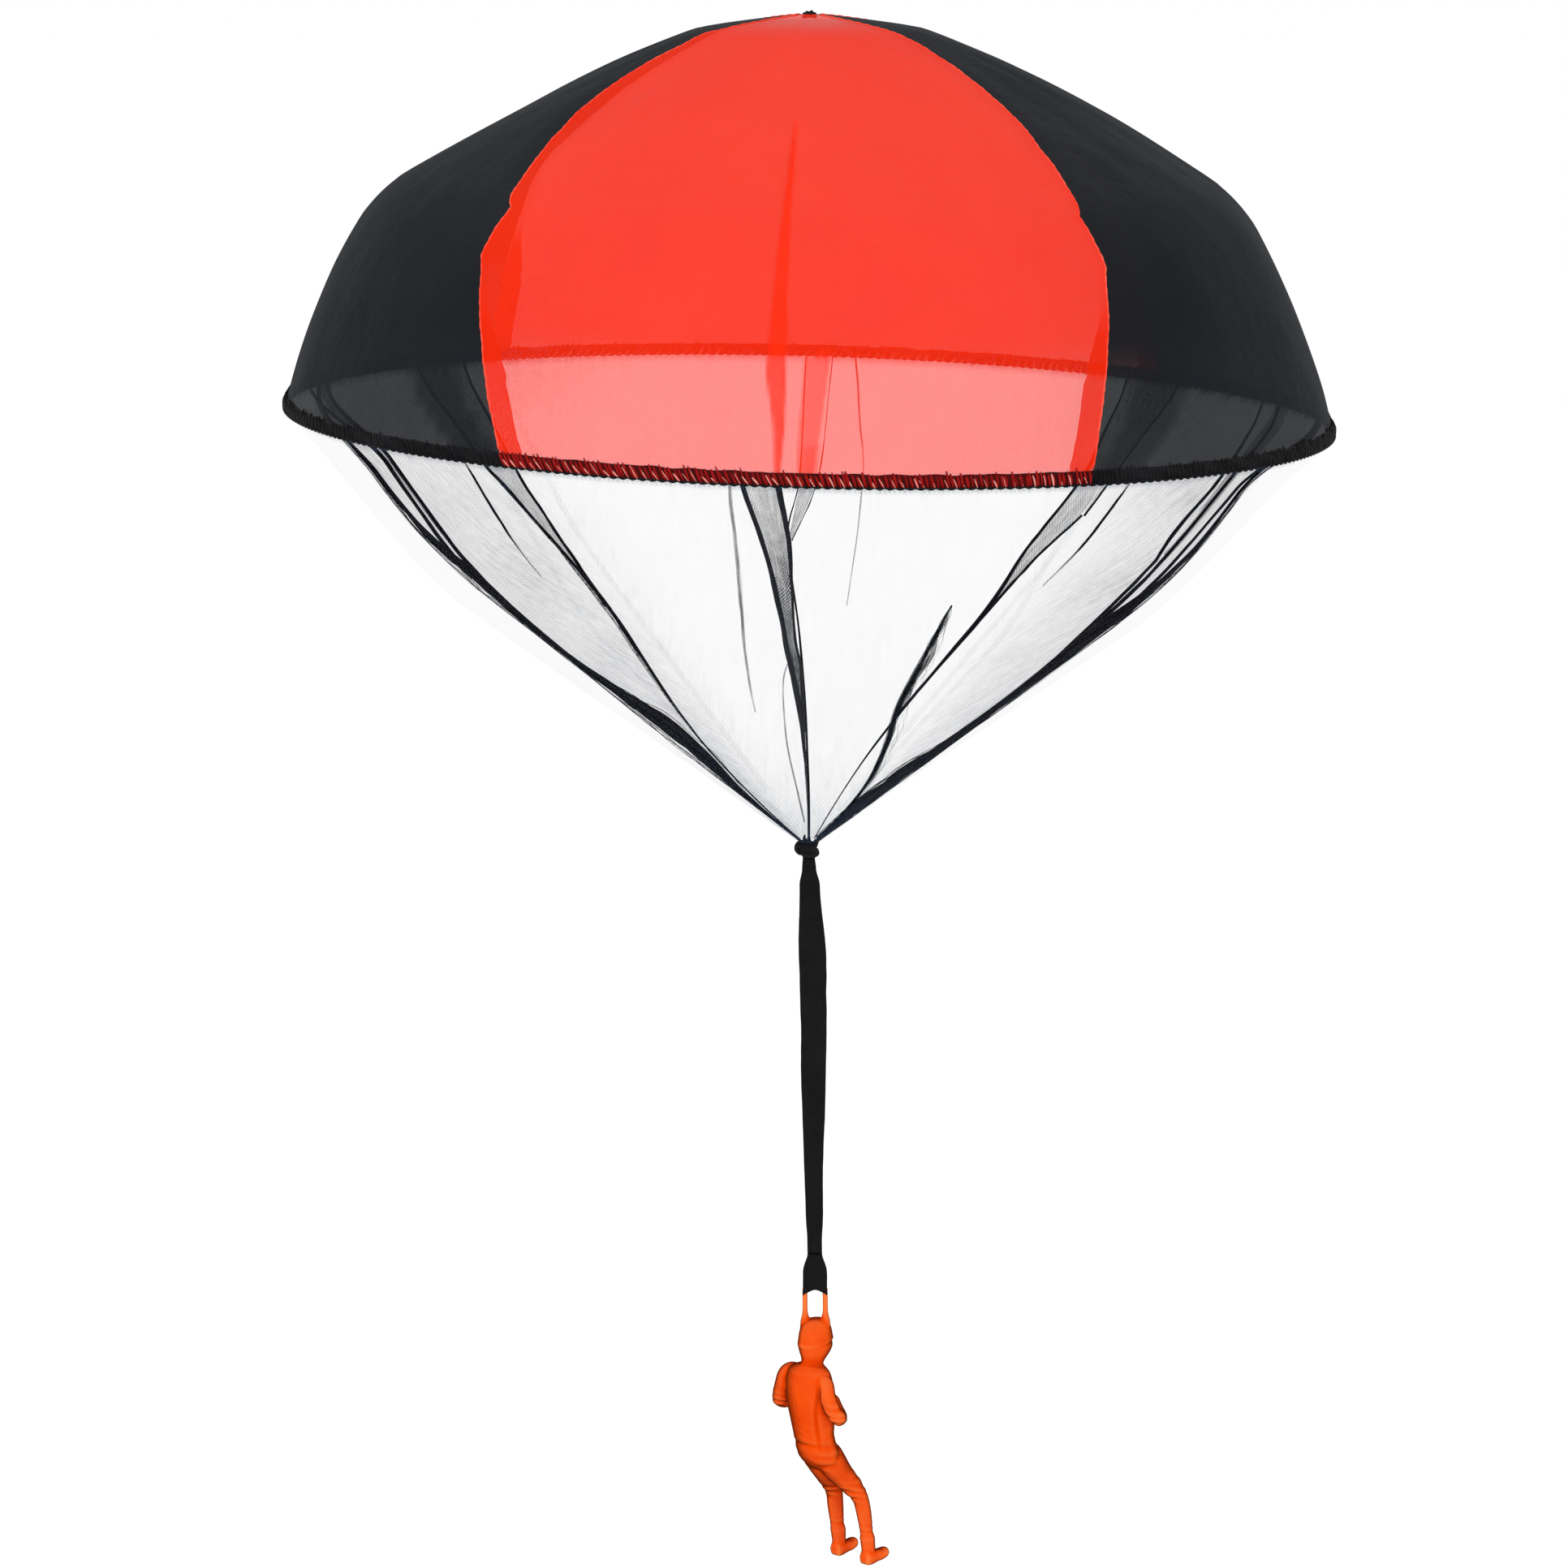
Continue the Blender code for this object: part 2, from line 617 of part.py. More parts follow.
def build_ply(name, front, stuff, pivot):
    """One ply of the doubled ribbon, from the knot to the neck, bowed a little away from the other."""
    side = -1 if front else 1
    rows = []
    for row in range(STRAP_ROWS + 1):
        share = row / STRAP_ROWS
        centre = STRAP_TOP.lerp(NECK_CENTRE, share)
        half = strap_width(share) / 2
        bow = PLY_OFFSET * math.sin(math.pi * share)
        line = []
        for place in ACROSS_SHARES:
            across = place * half * -side
            depth = side * (GAP / 2 + STRAP_CLOTH + bow * (1 - place * place))
            line.append(centre + Vector((across, depth, 0)))
        rows.append(line)
    sheet(name, rows, 0, STRAP_CLOTH, stuff, pivot)


def build_bight(stuff, pivot):
    """The bight of the ribbon: down in front, under the bar of the loop and up behind, wide above the bar."""
    inner = BAR_RADIUS + GAP
    throat = 2 * (LOOP_HALF_WIDTH - BAR_RADIUS - BIGHT_THROAT_CLEARANCE)
    fall = -GAP - LOOP_CENTRE.z - inner
    front = []
    for share in BIGHT_PLACE_SHARES:
        width = throat
        if share <= BIGHT_WIDEST_SHARE:
            width = blend(STRAP_NECK_WIDTH, BIGHT_WIDTH, ease(share / BIGHT_WIDEST_SHARE))
        bulge = BIGHT_BULGE * math.sin(math.pi * share) / 2
        depth = blend(STRAP_CLOTH + GAP / 2, inner, share) + bulge
        front.append((depth, -GAP - fall * share, width))
    under = []
    for step in range(BIGHT_UNDER_STEPS + 1):
        angle = math.pi * step / BIGHT_UNDER_STEPS
        under.append((inner * math.cos(angle), LOOP_CENTRE.z - inner * math.sin(angle), throat))
    path = [(-depth, height, width) for depth, height, width in front]
    path += [(-depth, height, width) for depth, height, width in under]
    path += [(depth, height, width) for depth, height, width in reversed(front)]
    rows = [[Vector((width / 2 * place, depth, height)) for place in ACROSS_SHARES] for depth, height, width in path]
    sheet("strap_bight", rows, -BIGHT_CLOTH, BIGHT_CLOTH, stuff, pivot)


def figure_place(forward, side, drop):
    """A place on the figure, measured from the middle of the loop's bar, from distances in its own frame."""
    angle = math.radians(FIGURE_TURN)
    ahead = Vector((math.cos(angle), math.sin(angle), 0))
    right = Vector((math.sin(angle), -math.cos(angle), 0))
    return Vector((FIGURE_SIDE, FIGURE_DEPTH, -LOOP_DROP - drop)) + ahead * forward + right * side


def figure_axes():
    """The figure's forward and right-hand directions."""
    origin = figure_place(0, 0, 0)
    ahead = (figure_place(FIGURE_HEIGHT, 0, 0) - origin).normalized()
    right = (figure_place(0, FIGURE_HEIGHT, 0) - origin).normalized()
    return ahead, right


def oval(centre, wide, deep, count):
    """A ring of points about a centre, on two half axes."""
    ring = []
    for index in range(count):
        angle = math.tau * index / count
        ring.append(centre + wide * math.cos(angle) + deep * math.sin(angle))
    return ring


def upright_rings(shares, count, tilt=0):
    """Level rings from stations of forward, drop, half width and half depth; tilt raises their fronts."""
    ahead, right = figure_axes()
    rings = []
    for forward, drop, wide, deep in shares:
        centre = figure_place(forward * FIGURE_HEIGHT, 0, drop * FIGURE_HEIGHT)
        lifted = ahead + Vector((0, 0, tilt * min(drop / shares[-1][1], 1)))
        rings.append(oval(centre, right * wide * FIGURE_HEIGHT, lifted * deep * FIGURE_HEIGHT, count))
    return rings


def limb_rings(shares, side, count):
    """Rings square to a limb's path, from stations with a share to the side as well."""
    right = figure_axes()[1]
    centres = []
    for forward, sideways, drop, wide, deep in shares:
        forward, sideways, drop = (share * FIGURE_HEIGHT for share in (forward, sideways, drop))
        centres.append(figure_place(forward, side * sideways, drop))
    rings = []
    across = right
    for index, (forward, sideways, drop, wide, deep) in enumerate(shares):
        before = centres[max(index - 1, 0)]
        after = centres[min(index + 1, len(centres) - 1)]
        along = (after - before).normalized()
        across = (across - along * across.dot(along)).normalized()
        front = along.cross(across)
        rings.append(oval(centres[index], across * wide * FIGURE_HEIGHT, front * deep * FIGURE_HEIGHT, count))
    return rings


def boot_rings(side):
    """Rings along a boot, from heel to toe, each flattened below to make the sole, toe up by its pitch."""
    ahead, right = figure_axes()
    pitch = math.radians(BOOT_PITCH)
    along = ahead * math.cos(pitch) + Vector((0, 0, math.sin(pitch)))
    up = right.cross(along)
    rings = []
    for forward, sideways, drop, wide, tall in BOOT_SHARES:
        heel = figure_place(BOOT_FORWARD_SHARE * FIGURE_HEIGHT, side * sideways * FIGURE_HEIGHT, drop * FIGURE_HEIGHT)
        centre = heel + along * forward * FIGURE_HEIGHT
        ring = []
        for index in range(LIMB_POINTS):
            angle = math.tau * index / LIMB_POINTS
            rise = max(math.sin(angle), SOLE_SHARE)
            ring.append(centre + right * wide * math.cos(angle) * FIGURE_HEIGHT + up * tall * rise * FIGURE_HEIGHT)
        rings.append(ring)
    return rings


def loop_rings():
    """Rings along the loop: up from the helmet, over as the bar, and down again."""
    path = [Vector((-LOOP_HALF_WIDTH, 0, -LOOP_DROP - LOOP_SINK)), Vector((-LOOP_HALF_WIDTH, 0, -LOOP_DROP / 2))]
    for step in range(LOOP_CORNER_STEPS + 1):
        angle = math.pi - math.pi / 2 * step / LOOP_CORNER_STEPS
        centre = Vector((-LOOP_HALF_WIDTH + LOOP_CORNER, 0, -LOOP_CORNER))
        path.append(centre + Vector((math.cos(angle), 0, math.sin(angle))) * LOOP_CORNER)
    path += [Vector((-point.x, 0, point.z)) for point in reversed(path)]
    # The legs lean to the middle of the helmet, which hangs a little off the bar
    drift = figure_place(HELMET_SHARES[0][0] * FIGURE_HEIGHT, 0, -LOOP_DROP)
    path = [point + drift * min(max(-point.z - LOOP_CORNER, 0) / LOOP_DROP, 1) for point in path]
    rings = []
    for index, point in enumerate(path):
        along = (path[min(index + 1, len(path) - 1)] - path[max(index - 1, 0)]).normalized()
        across = along.cross(Vector((0, 1, 0))).normalized()
        depth = across.cross(along)
        rings.append(oval(point, across * BAR_RADIUS, depth * BAR_RADIUS, LOOP_POINTS))
    return rings


def build_figure(stuff, pivot):
    """The moulded figure: its torso, joined by unions with its head, helmet, limbs, boots and loop."""
    figure = loft("figure", upright_rings(TORSO_SHARES, TORSO_POINTS), stuff, pivot)
    pieces = {
        "head_form": upright_rings(HEAD_SHARES, TORSO_POINTS),
        "face_form": upright_rings(FACE_SHARES, LIMB_POINTS),
        "helmet_form": upright_rings(HELMET_SHARES, TORSO_POINTS, HELMET_TILT_SHARE),
        "loop_form": loop_rings(),
    }
    for side, label in ((-1, "left"), (1, "right")):
        pieces[f"leg_form_{label}"] = limb_rings(LEG_SHARES, side, LIMB_POINTS)
        pieces[f"boot_form_{label}"] = boot_rings(side)
        pieces[f"arm_form_{label}"] = limb_rings(ARM_SHARES, side, LIMB_POINTS)
    for name, rings in pieces.items():
        form = loft(name, rings, stuff, pivot)
        form.hide_render = True
        form.display_type = "WIRE"
        join = figure.modifiers.new(name, "BOOLEAN")
        join.operation = "UNION"
        join.solver = "MANIFOLD"
        join.object = form


def main():
    """Builds every piece of the parachute."""
    for old in list(bpy.data.objects):
        bpy.data.objects.remove(old)
    red = material("red_cloth", (0.95, 0.05, 0.02), 0.75)
    black = material("black_cloth", (0.02, 0.02, 0.025), 0.8)
    thread = material("black_thread", (0.01, 0.01, 0.01), 0.85)
    net = material("black_net", (0.03, 0.03, 0.035), 0.8)
    ribbon = material("black_ribbon", (0.012, 0.012, 0.012), 0.55)
    plastic = material("orange_plastic", (0.95, 0.09, 0.01), 0.4)

    for gore in GORES:
        build_canopy(gore, red if gore in (FRONT_GORE, BACK_GORE) else black)
        build_hem(gore, thread)
        build_net(gore, net)
    for gore, next_gore in zip(GORES, (*GORES[1:], GORES[0])):
        build_net_seam(gore, next_gore, thread)
    build_seam(FRONT_GORE, "first", "left", red)
    build_seam(FRONT_GORE, "last", "right", red)
    build_seam(BACK_GORE, "first", "right", red)
    build_seam(BACK_GORE, "last", "left", red)
    build_apex_knot(thread)

    knot_pivot = add_pivot("knot_pivot", KNOT_CENTRE)
    twist_axis = add_pivot("twist_axis", NECK_CENTRE, knot_pivot)
    loop_pivot = add_pivot("loop_pivot", LOOP_CENTRE, twist_axis)
    build_knot(ribbon, knot_pivot)
    build_ply("strap_ply_front", True, ribbon, knot_pivot)
    build_ply("strap_ply_back", False, ribbon, knot_pivot)
    build_bight(ribbon, twist_axis)
    build_figure(plastic, loop_pivot)


main()
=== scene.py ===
"""Looks of a toy parachute: thin cloth, net, thread, ribbon and a moulded figure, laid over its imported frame.

Lengths are metres. The origin is the apex of the canopy, +Z is up, -Y is the front and +X the right. Azimuths are
degrees round +Z from the front, the right side being 90.
"""

import logging
import math
from dataclasses import dataclass
from enum import Enum
from typing import Callable, Optional, Sequence

import bmesh
import bpy
from bmesh.types import BMVert
from mathutils import Matrix, Vector, noise


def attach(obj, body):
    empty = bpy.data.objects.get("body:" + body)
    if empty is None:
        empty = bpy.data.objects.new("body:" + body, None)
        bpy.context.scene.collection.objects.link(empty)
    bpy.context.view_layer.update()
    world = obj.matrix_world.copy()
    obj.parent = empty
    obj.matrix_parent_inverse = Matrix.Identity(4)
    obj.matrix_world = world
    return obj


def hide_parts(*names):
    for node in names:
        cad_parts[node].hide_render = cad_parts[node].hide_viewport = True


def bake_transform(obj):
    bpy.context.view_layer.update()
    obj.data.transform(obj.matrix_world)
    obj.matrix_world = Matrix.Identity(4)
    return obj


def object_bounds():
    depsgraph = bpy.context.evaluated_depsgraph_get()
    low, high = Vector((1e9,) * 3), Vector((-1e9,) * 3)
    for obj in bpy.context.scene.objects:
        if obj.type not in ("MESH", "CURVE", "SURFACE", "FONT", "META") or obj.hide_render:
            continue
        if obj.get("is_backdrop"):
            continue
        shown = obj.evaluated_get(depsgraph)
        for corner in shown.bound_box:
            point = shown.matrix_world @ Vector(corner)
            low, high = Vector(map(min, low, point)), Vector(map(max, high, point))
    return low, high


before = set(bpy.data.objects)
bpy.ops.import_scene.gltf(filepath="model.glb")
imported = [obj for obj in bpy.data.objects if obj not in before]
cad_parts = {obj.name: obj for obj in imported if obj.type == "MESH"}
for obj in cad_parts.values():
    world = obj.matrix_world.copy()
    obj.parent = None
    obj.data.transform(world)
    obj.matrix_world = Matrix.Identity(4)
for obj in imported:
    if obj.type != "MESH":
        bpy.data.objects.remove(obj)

LOG = logging.getLogger("parachute")
THOUSAND = 1000
HUNDREDTHS = 100_000
Colour = tuple[float, float, float]
Place = tuple[float, float, float]
Table = tuple[tuple[float, ...], ...]
Socket = bpy.types.NodeSocket
Piece = bpy.types.Object


class Side(Enum):
    """The four gores of the canopy, and the net panels below them."""

    FRONT = "front"
    RIGHT = "right"
    BACK = "back"
    LEFT = "left"

    @property
    def red(self) -> bool:
        """Tells whether its gore is red."""
        return self in (Side.FRONT, Side.BACK)


class Slot(Enum):
    """The record's material slots."""

    RED = "red_cloth"
    BLACK = "black_cloth"
    THREAD = "black_thread"
    NET = "black_net"
    RIBBON = "black_ribbon"
    PLASTIC = "orange_plastic"


class Look(Enum):
    """The toy's finishes."""

    RED = "red_cloth"
    ALLOWANCE = "red_allowance"
    WELT = "red_welt"
    BLACK = "black_cloth"
    HEM_RED = "hem_on_red"
    HEM_TURN = "hem_turn"
    HEM_BLACK = "hem_on_black"
    STITCH = "pale_stitch"
    THREAD = "black_thread"
    NET = "black_net"
    FOLDED = "folded_net"
    GATHERED = "gathered_net"
    RIBBON = "black_ribbon"
    PLASTIC = "orange_plastic"


def blend(low: float, high: float, share: float) -> float:
    """Returns the value that lies a share of the way from low to high."""
    return low + (high - low) * share


def ease(share: float) -> float:
    """Returns a share held to 0 to 1, with a gentle start and end."""
    held = min(max(share, 0.0), 1.0)
    return held * held * (3 - 2 * held)


def bump(distance: float, width: float) -> float:
    """Returns 1 at a distance of zero, falling softly to nearly 0 a width away."""
    return math.exp(-((distance / width) ** 2) * 2.5)


def waver(across: float, down: float, lane: float) -> float:
    """Returns smooth noise, about -1 to 1, at a place in a field."""
    return noise.noise(Vector((across, down, lane)))


def thousandths(*rows: tuple[int, ...]) -> Table:
    """Returns rows of numbers that are written in thousandths."""
    return tuple(tuple(value / THOUSAND for value in row) for row in rows)


def at(table: Table, place: float) -> float:
    """Reads a table of pairs at a place between its first column's values."""
    for (start, low), (end, high) in zip(table, table[1:]):
        if place <= end:
            return blend(low, high, max(place - start, 0.0) / (end - start))
    return table[-1][1]


def through(points: Sequence[Vector], place: float) -> Vector:
    """Finds a point on a smooth curve through others.

    Args:
        points: The points that the curve passes through, in order.
        place: How far along, counted in points, so 1.5 lies half-way between the second and the third.

    Returns:
        The point on the curve.
    """
    held = min(max(place, 0.0), len(points) - 1.0)
    first = min(int(held), len(points) - 2)
    share = held - first
    one, two = points[first], points[first + 1]
    before = points[first - 1] if first > 0 else one * 2 - two
    after = points[first + 2] if first + 2 < len(points) else two * 2 - one
    cube, square = share**3, share**2
    return (
        one * (2 * cube - 3 * square + 1)
        + two * (3 * square - 2 * cube)
        + (two - before) * 0.5 * (cube - 2 * square + share)
        + (after - one) * 0.5 * (cube - square)
    )


def placed(name: str, data: bpy.types.ID) -> Piece:
    """Makes an object at the origin, in the scene's own collection."""
    made = bpy.data.objects.new(name, data)
    bpy.context.scene.collection.objects.link(made)
    return made


class NodeMaker:
    """Adds nodes to one material or group and joins them."""

    def __init__(self, tree: bpy.types.NodeTree) -> None:
        """Keeps the tree that the nodes go into."""
        self.tree = tree

    def add(self, kind: str, **settings: object) -> bpy.types.Node:
        """Adds a node.

        Args:
            kind: The node's type name.
            settings: Properties to set on it.

        Returns:
            The node.
        """
        node = self.tree.nodes.new(kind)
        for name, value in settings.items():
            setattr(node, name, value)
        return node

    def join(self, source: object, target: Socket) -> None:
        """Joins a socket to another, or sets a plain value or a linear colour on it."""
        if isinstance(source, Socket):
            self.tree.links.new(source, target)
        elif target.type == "RGBA":
            target.default_value = (*source, 1.0)
        else:
            target.default_value = source

    def fill(self, node: bpy.types.Node, **values: object) -> bpy.types.Node:
        """Fills a node's inputs.

        Args:
            node: The node.
            values: A socket or a value for each input, by its name with an underscore for each space.

        Returns:
            The same node.
        """
        for name, value in values.items():
            self.join(value, node.inputs[name.replace("_", " ")])
        return node

    def maths(self, operation: str, *values: object, clamp: bool = False) -> Socket:
        """Adds a Math node.

        Args:
            operation: The node's operation.
            values: Sockets or numbers for its inputs.
            clamp: Whether the result is held to 0 to 1.

        Returns:
            The node's output.
        """
        node = self.add("ShaderNodeMath", operation=operation, use_clamp=clamp)
        for value, target in zip(values, node.inputs):
            self.join(value, target)
        return node.outputs[0]

    def mix(self, factor: object, *colours: object) -> Socket:
        """Returns a mix of two colours by a factor, each a socket or a value."""
        node = self.add("ShaderNodeMix", data_type="RGBA")
        for value, index in zip((factor, *colours), (0, 6, 7)):
            self.join(value, node.inputs[index])
        return node.outputs[2]

    def relief(self, height: Socket, strength: float, distance: float, over: Optional[Socket] = None) -> Socket:
        """Adds a Bump node.

        Args:
            height: The relief's height, from 0 to 1.
            strength: How strongly it shows.
            distance: What a height of 1 stands for.
            over: The normal that it lies on, if not the mesh's own.

        Returns:
            The normal.
        """
        node = self.fill(self.add("ShaderNodeBump"), Strength=strength, Distance=distance, Height=height)
        if over:
            self.join(over, node.inputs["Normal"])
        return node.outputs[0]

    def group(self, group: bpy.types.NodeTree, **values: object) -> bpy.types.Node:
        """Places a shared group and fills its inputs."""
        node = self.add("ShaderNodeGroup")
        node.node_tree = group
        return self.fill(node, **values)


class Shading(NodeMaker):
    """The nodes of one new material, round its Principled shader."""

    def __init__(self, name: str) -> None:
        """Makes the material."""
        self.made = bpy.data.materials.new(name)
        self.made.use_nodes = True
        super().__init__(self.made.node_tree)
        self.solid = self.add("ShaderNodeTexCoord").outputs["Object"]

    def cloth(self) -> Socket:
        """Returns the piece's own map in metres."""
        return self.add("ShaderNodeUVMap", uv_map="cloth").outputs[0]

    def kept(self, name: str) -> Socket:
        """Returns what the mesh keeps on its points under a name."""
        return self.add("ShaderNodeAttribute", attribute_name=name).outputs["Fac"]

    def streaks(self, mottle: bpy.types.NodeTree, place: Socket, scale: Place) -> bpy.types.Node:
        """Places the mottle, drawn out along the cloth by a scale."""
        drawn = self.fill(self.add("ShaderNodeMapping"), Scale=scale, Vector=place)
        return self.group(mottle, Place=drawn.outputs[0], Size=1.0)

    def shade(self, **values: object) -> bpy.types.Material:
        """Fills the Principled shader's inputs and returns the material."""
        self.fill(self.tree.nodes["Principled BSDF"], **values)
        return self.made


class Effects:
    """Shared shader groups: the weave of cloth, a soft mottle and the cells of net."""

    def __init__(self) -> None:
        """Builds each group once."""
        self.weave = self._weave()
        self.mottle = self._mottle()
        self.cells = self._cells()

    @staticmethod
    def _start(name: str, inputs: dict[str, str], outputs: dict[str, str]) -> tuple:
        """Starts a group.

        Args:
            name: The group's name.
            inputs: The socket type of each input.
            outputs: The socket type of each output.

        Returns:
            The group, its node maker, and the nodes that hold its inputs and outputs.
        """
        tree = bpy.data.node_groups.new(name, "ShaderNodeTree")
        for way, sockets in (("INPUT", inputs), ("OUTPUT", outputs)):
            for label, kind in sockets.items():
                tree.interface.new_socket(name=label, in_out=way, socket_type=f"NodeSocket{kind}")
        make = NodeMaker(tree)
        return tree, make, make.add("NodeGroupInput"), make.add("NodeGroupOutput")

    def _weave(self) -> bpy.types.NodeTree:
        """Returns a plain weave: the height of its threads, and the pinholes between them."""
        tree, make, given, made = self._start(
            "plain_weave",
            {"Place": "Vector", "Threads": "Float"},
            {"Height": "Float", "Pinhole": "Float"},
        )
        split = make.fill(make.add("ShaderNodeSeparateXYZ"), Vector=given.outputs["Place"])
        turns = make.maths("MULTIPLY", given.outputs["Threads"], math.pi)
        across = make.maths("MULTIPLY", split.outputs[0], turns)
        down = make.maths("MULTIPLY", split.outputs[1], turns)
        crest = make.maths("MULTIPLY", make.maths("SINE", across), make.maths("SINE", down))
        hollow = make.maths("MULTIPLY", make.maths("COSINE", across), make.maths("COSINE", down))
        make.join(make.maths("MULTIPLY_ADD", crest, 0.5, 0.5), made.inputs["Height"])
        make.join(make.maths("POWER", make.maths("ABSOLUTE", hollow), 6.0), made.inputs["Pinhole"])
        return tree

    def _mottle(self) -> bpy.types.NodeTree:
        """Returns a slow and a fine unevenness, each about 0.5, for colour, roughness and soft creases."""
        tree, make, given, made = self._start(
            "soft_mottle",
            {"Place": "Vector", "Size": "Float"},
            {"Slow": "Float", "Fine": "Float"},
        )
        for label, times, detail in (("Slow", 1.0, 2.0), ("Fine", 9.0, 4.0)):
            scale = make.maths("MULTIPLY", given.outputs["Size"], times)
            cloud = make.add("ShaderNodeTexNoise", noise_dimensions="3D")
            make.fill(cloud, Vector=given.outputs["Place"], Scale=scale, Detail=detail)
            make.join(cloud.outputs[0], made.inputs[label])
        return tree

    def _cells(self) -> bpy.types.NodeTree:
        """Returns net: two slanted sets of threads that cross, as 1 on a thread and 0 in a cell."""
        tree, make, given, made = self._start(
            "net_cells",
            {"Place": "Vector", "Cells": "Float", "Thread": "Float"},
            {"Cover": "Float"},
        )
        split = make.fill(make.add("ShaderNodeSeparateXYZ"), Vector=given.outputs["Place"])
        covers = []
        for slant in (1.0, -1.0):
            along = make.maths("MULTIPLY_ADD", split.outputs[1], 0.6 * slant, split.outputs[0])
            phase = make.maths("FRACT", make.maths("MULTIPLY", along, given.outputs["Cells"]))
            away = make.maths("ABSOLUTE", make.maths("SUBTRACT", phase, 0.5))
            covers.append(make.maths("LESS_THAN", away, given.outputs["Thread"]))
        make.join(make.maths("MAXIMUM", *covers), made.inputs["Cover"])
        return tree


@dataclass(frozen=True)
class ClothFinish:
    """Thin woven cloth that lets what is behind it show through.

    Attributes:
        slot: The record's slot.
        colour: Linear colour of the threads.
        shade: Linear colour in the darker patches.
        cover: Share of the light that one layer stops.
        sheen: Weight of the soft sheen on its nap.
        sheen_colour: Linear colour of that sheen.
        threads: Threads to the metre.
        roughness: Roughness of the threads.
    """

    slot: Slot
    colour: Colour
    shade: Colour
    cover: float
    sheen: float
    sheen_colour: Colour
    threads: float = 2300.0
    roughness: float = 0.72

    def build(self, name: str, effects: Effects) -> bpy.types.Material:
        """Makes the material.

        Args:
            name: Its name.
            effects: The shared groups.

        Returns:
            The material. It reads the cloth's own map in metres, and how many more layers lie there.
        """
        make = Shading(name)
        place = make.cloth()
        weave = make.group(effects.weave, Place=place, Threads=self.threads)
        patches = make.group(effects.mottle, Place=make.solid, Size=16.0)
        streaks = make.streaks(effects.mottle, place, (900.0, 40.0, 1.0))
        tone = make.maths("MULTIPLY_ADD", patches.outputs["Slow"], 1.6, -0.45)
        tone = make.maths("ADD", tone, make.maths("MULTIPLY_ADD", streaks.outputs["Fine"], 0.5, -0.25), clamp=True)
        clear = 1 - self.cover
        bare = make.maths("MULTIPLY_ADD", weave.outputs["Pinhole"], 0.35 * clear, clear)
        bare = make.maths("MULTIPLY_ADD", patches.outputs["Fine"], 0.10 * clear, bare)
        bare = make.maths("POWER", bare, make.maths("ADD", make.kept("layers"), 1.0))
        fine = make.relief(weave.outputs["Height"], 0.5, 0.00012)
        return make.shade(
            Base_Color=make.mix(tone, self.colour, self.shade),
            Alpha=make.maths("SUBTRACT", 1.0, bare, clamp=True),
            Roughness=make.maths("MULTIPLY_ADD", weave.outputs["Height"], -0.1, self.roughness + 0.05),
            Sheen_Weight=self.sheen,
            Sheen_Roughness=0.45,
            Sheen_Tint=self.sheen_colour,
            Specular_IOR_Level=0.04,
            Normal=make.relief(patches.outputs["Fine"], 0.35, 0.002, fine),
        )


@dataclass(frozen=True)
class NetFinish:
    """Fine open net: slanted threads over clear cells, closing up where it is folded.

    Attributes:
        slot: The record's slot.
        colour: Linear colour of the threads.
        cells: Cells to the metre.
        thread: Half the thread's width as a share of a cell.
        cover: Share of the light that a thread stops.
        mesh: How much denser its threads are than its cells where it is folded.
    """

    slot: Slot
    colour: Colour
    cells: float
    thread: float
    cover: float
    mesh: float = 0.6

    def build(self, name: str, effects: Effects) -> bpy.types.Material:
        """Makes the material.

        Args:
            name: Its name.
            effects: The shared groups.

        Returns:
            The material. It reads the net's own map in metres, and how closely it is folded there.
        """
        make = Shading(name)
        place = make.cloth()
        net = make.group(effects.cells, Place=place, Cells=self.cells, Thread=self.thread)
        mesh = make.group(effects.cells, Place=place, Cells=self.cells * 0.7, Thread=0.16)
        uneven = make.group(effects.mottle, Place=make.solid, Size=30.0)
        slow = make.streaks(effects.mottle, place, (700.0, 60.0, 1.0)).outputs["Slow"]
        lively = make.maths("MULTIPLY_ADD", slow, 2.4, -0.3)
        open_cover = make.maths("MULTIPLY", net.outputs["Cover"], self.cover)
        open_cover = make.maths("MULTIPLY", open_cover, lively, clamp=True)
        speckle = make.maths("MULTIPLY_ADD", uneven.outputs["Fine"], 0.9, 0.55)
        speckle = make.maths("MULTIPLY", speckle, make.maths("MULTIPLY_ADD", slow, 1.2, 0.4))
        speckle = make.maths("MULTIPLY", speckle, make.maths("MULTIPLY_ADD", mesh.outputs["Cover"], self.mesh, 1.0))
        closed = make.maths("MULTIPLY", make.kept("layers"), speckle, clamp=True)
        bare = make.maths("MULTIPLY", make.maths("SUBTRACT", 1.0, open_cover), make.maths("SUBTRACT", 1.0, closed))
        paler = tuple(value * 1.7 for value in self.colour)
        return make.shade(
            Base_Color=make.mix(uneven.outputs["Fine"], self.colour, paler),
            Alpha=make.maths("SUBTRACT", 1.0, bare, clamp=True),
            Roughness=0.8,
            Specular_IOR_Level=0.2,
        )


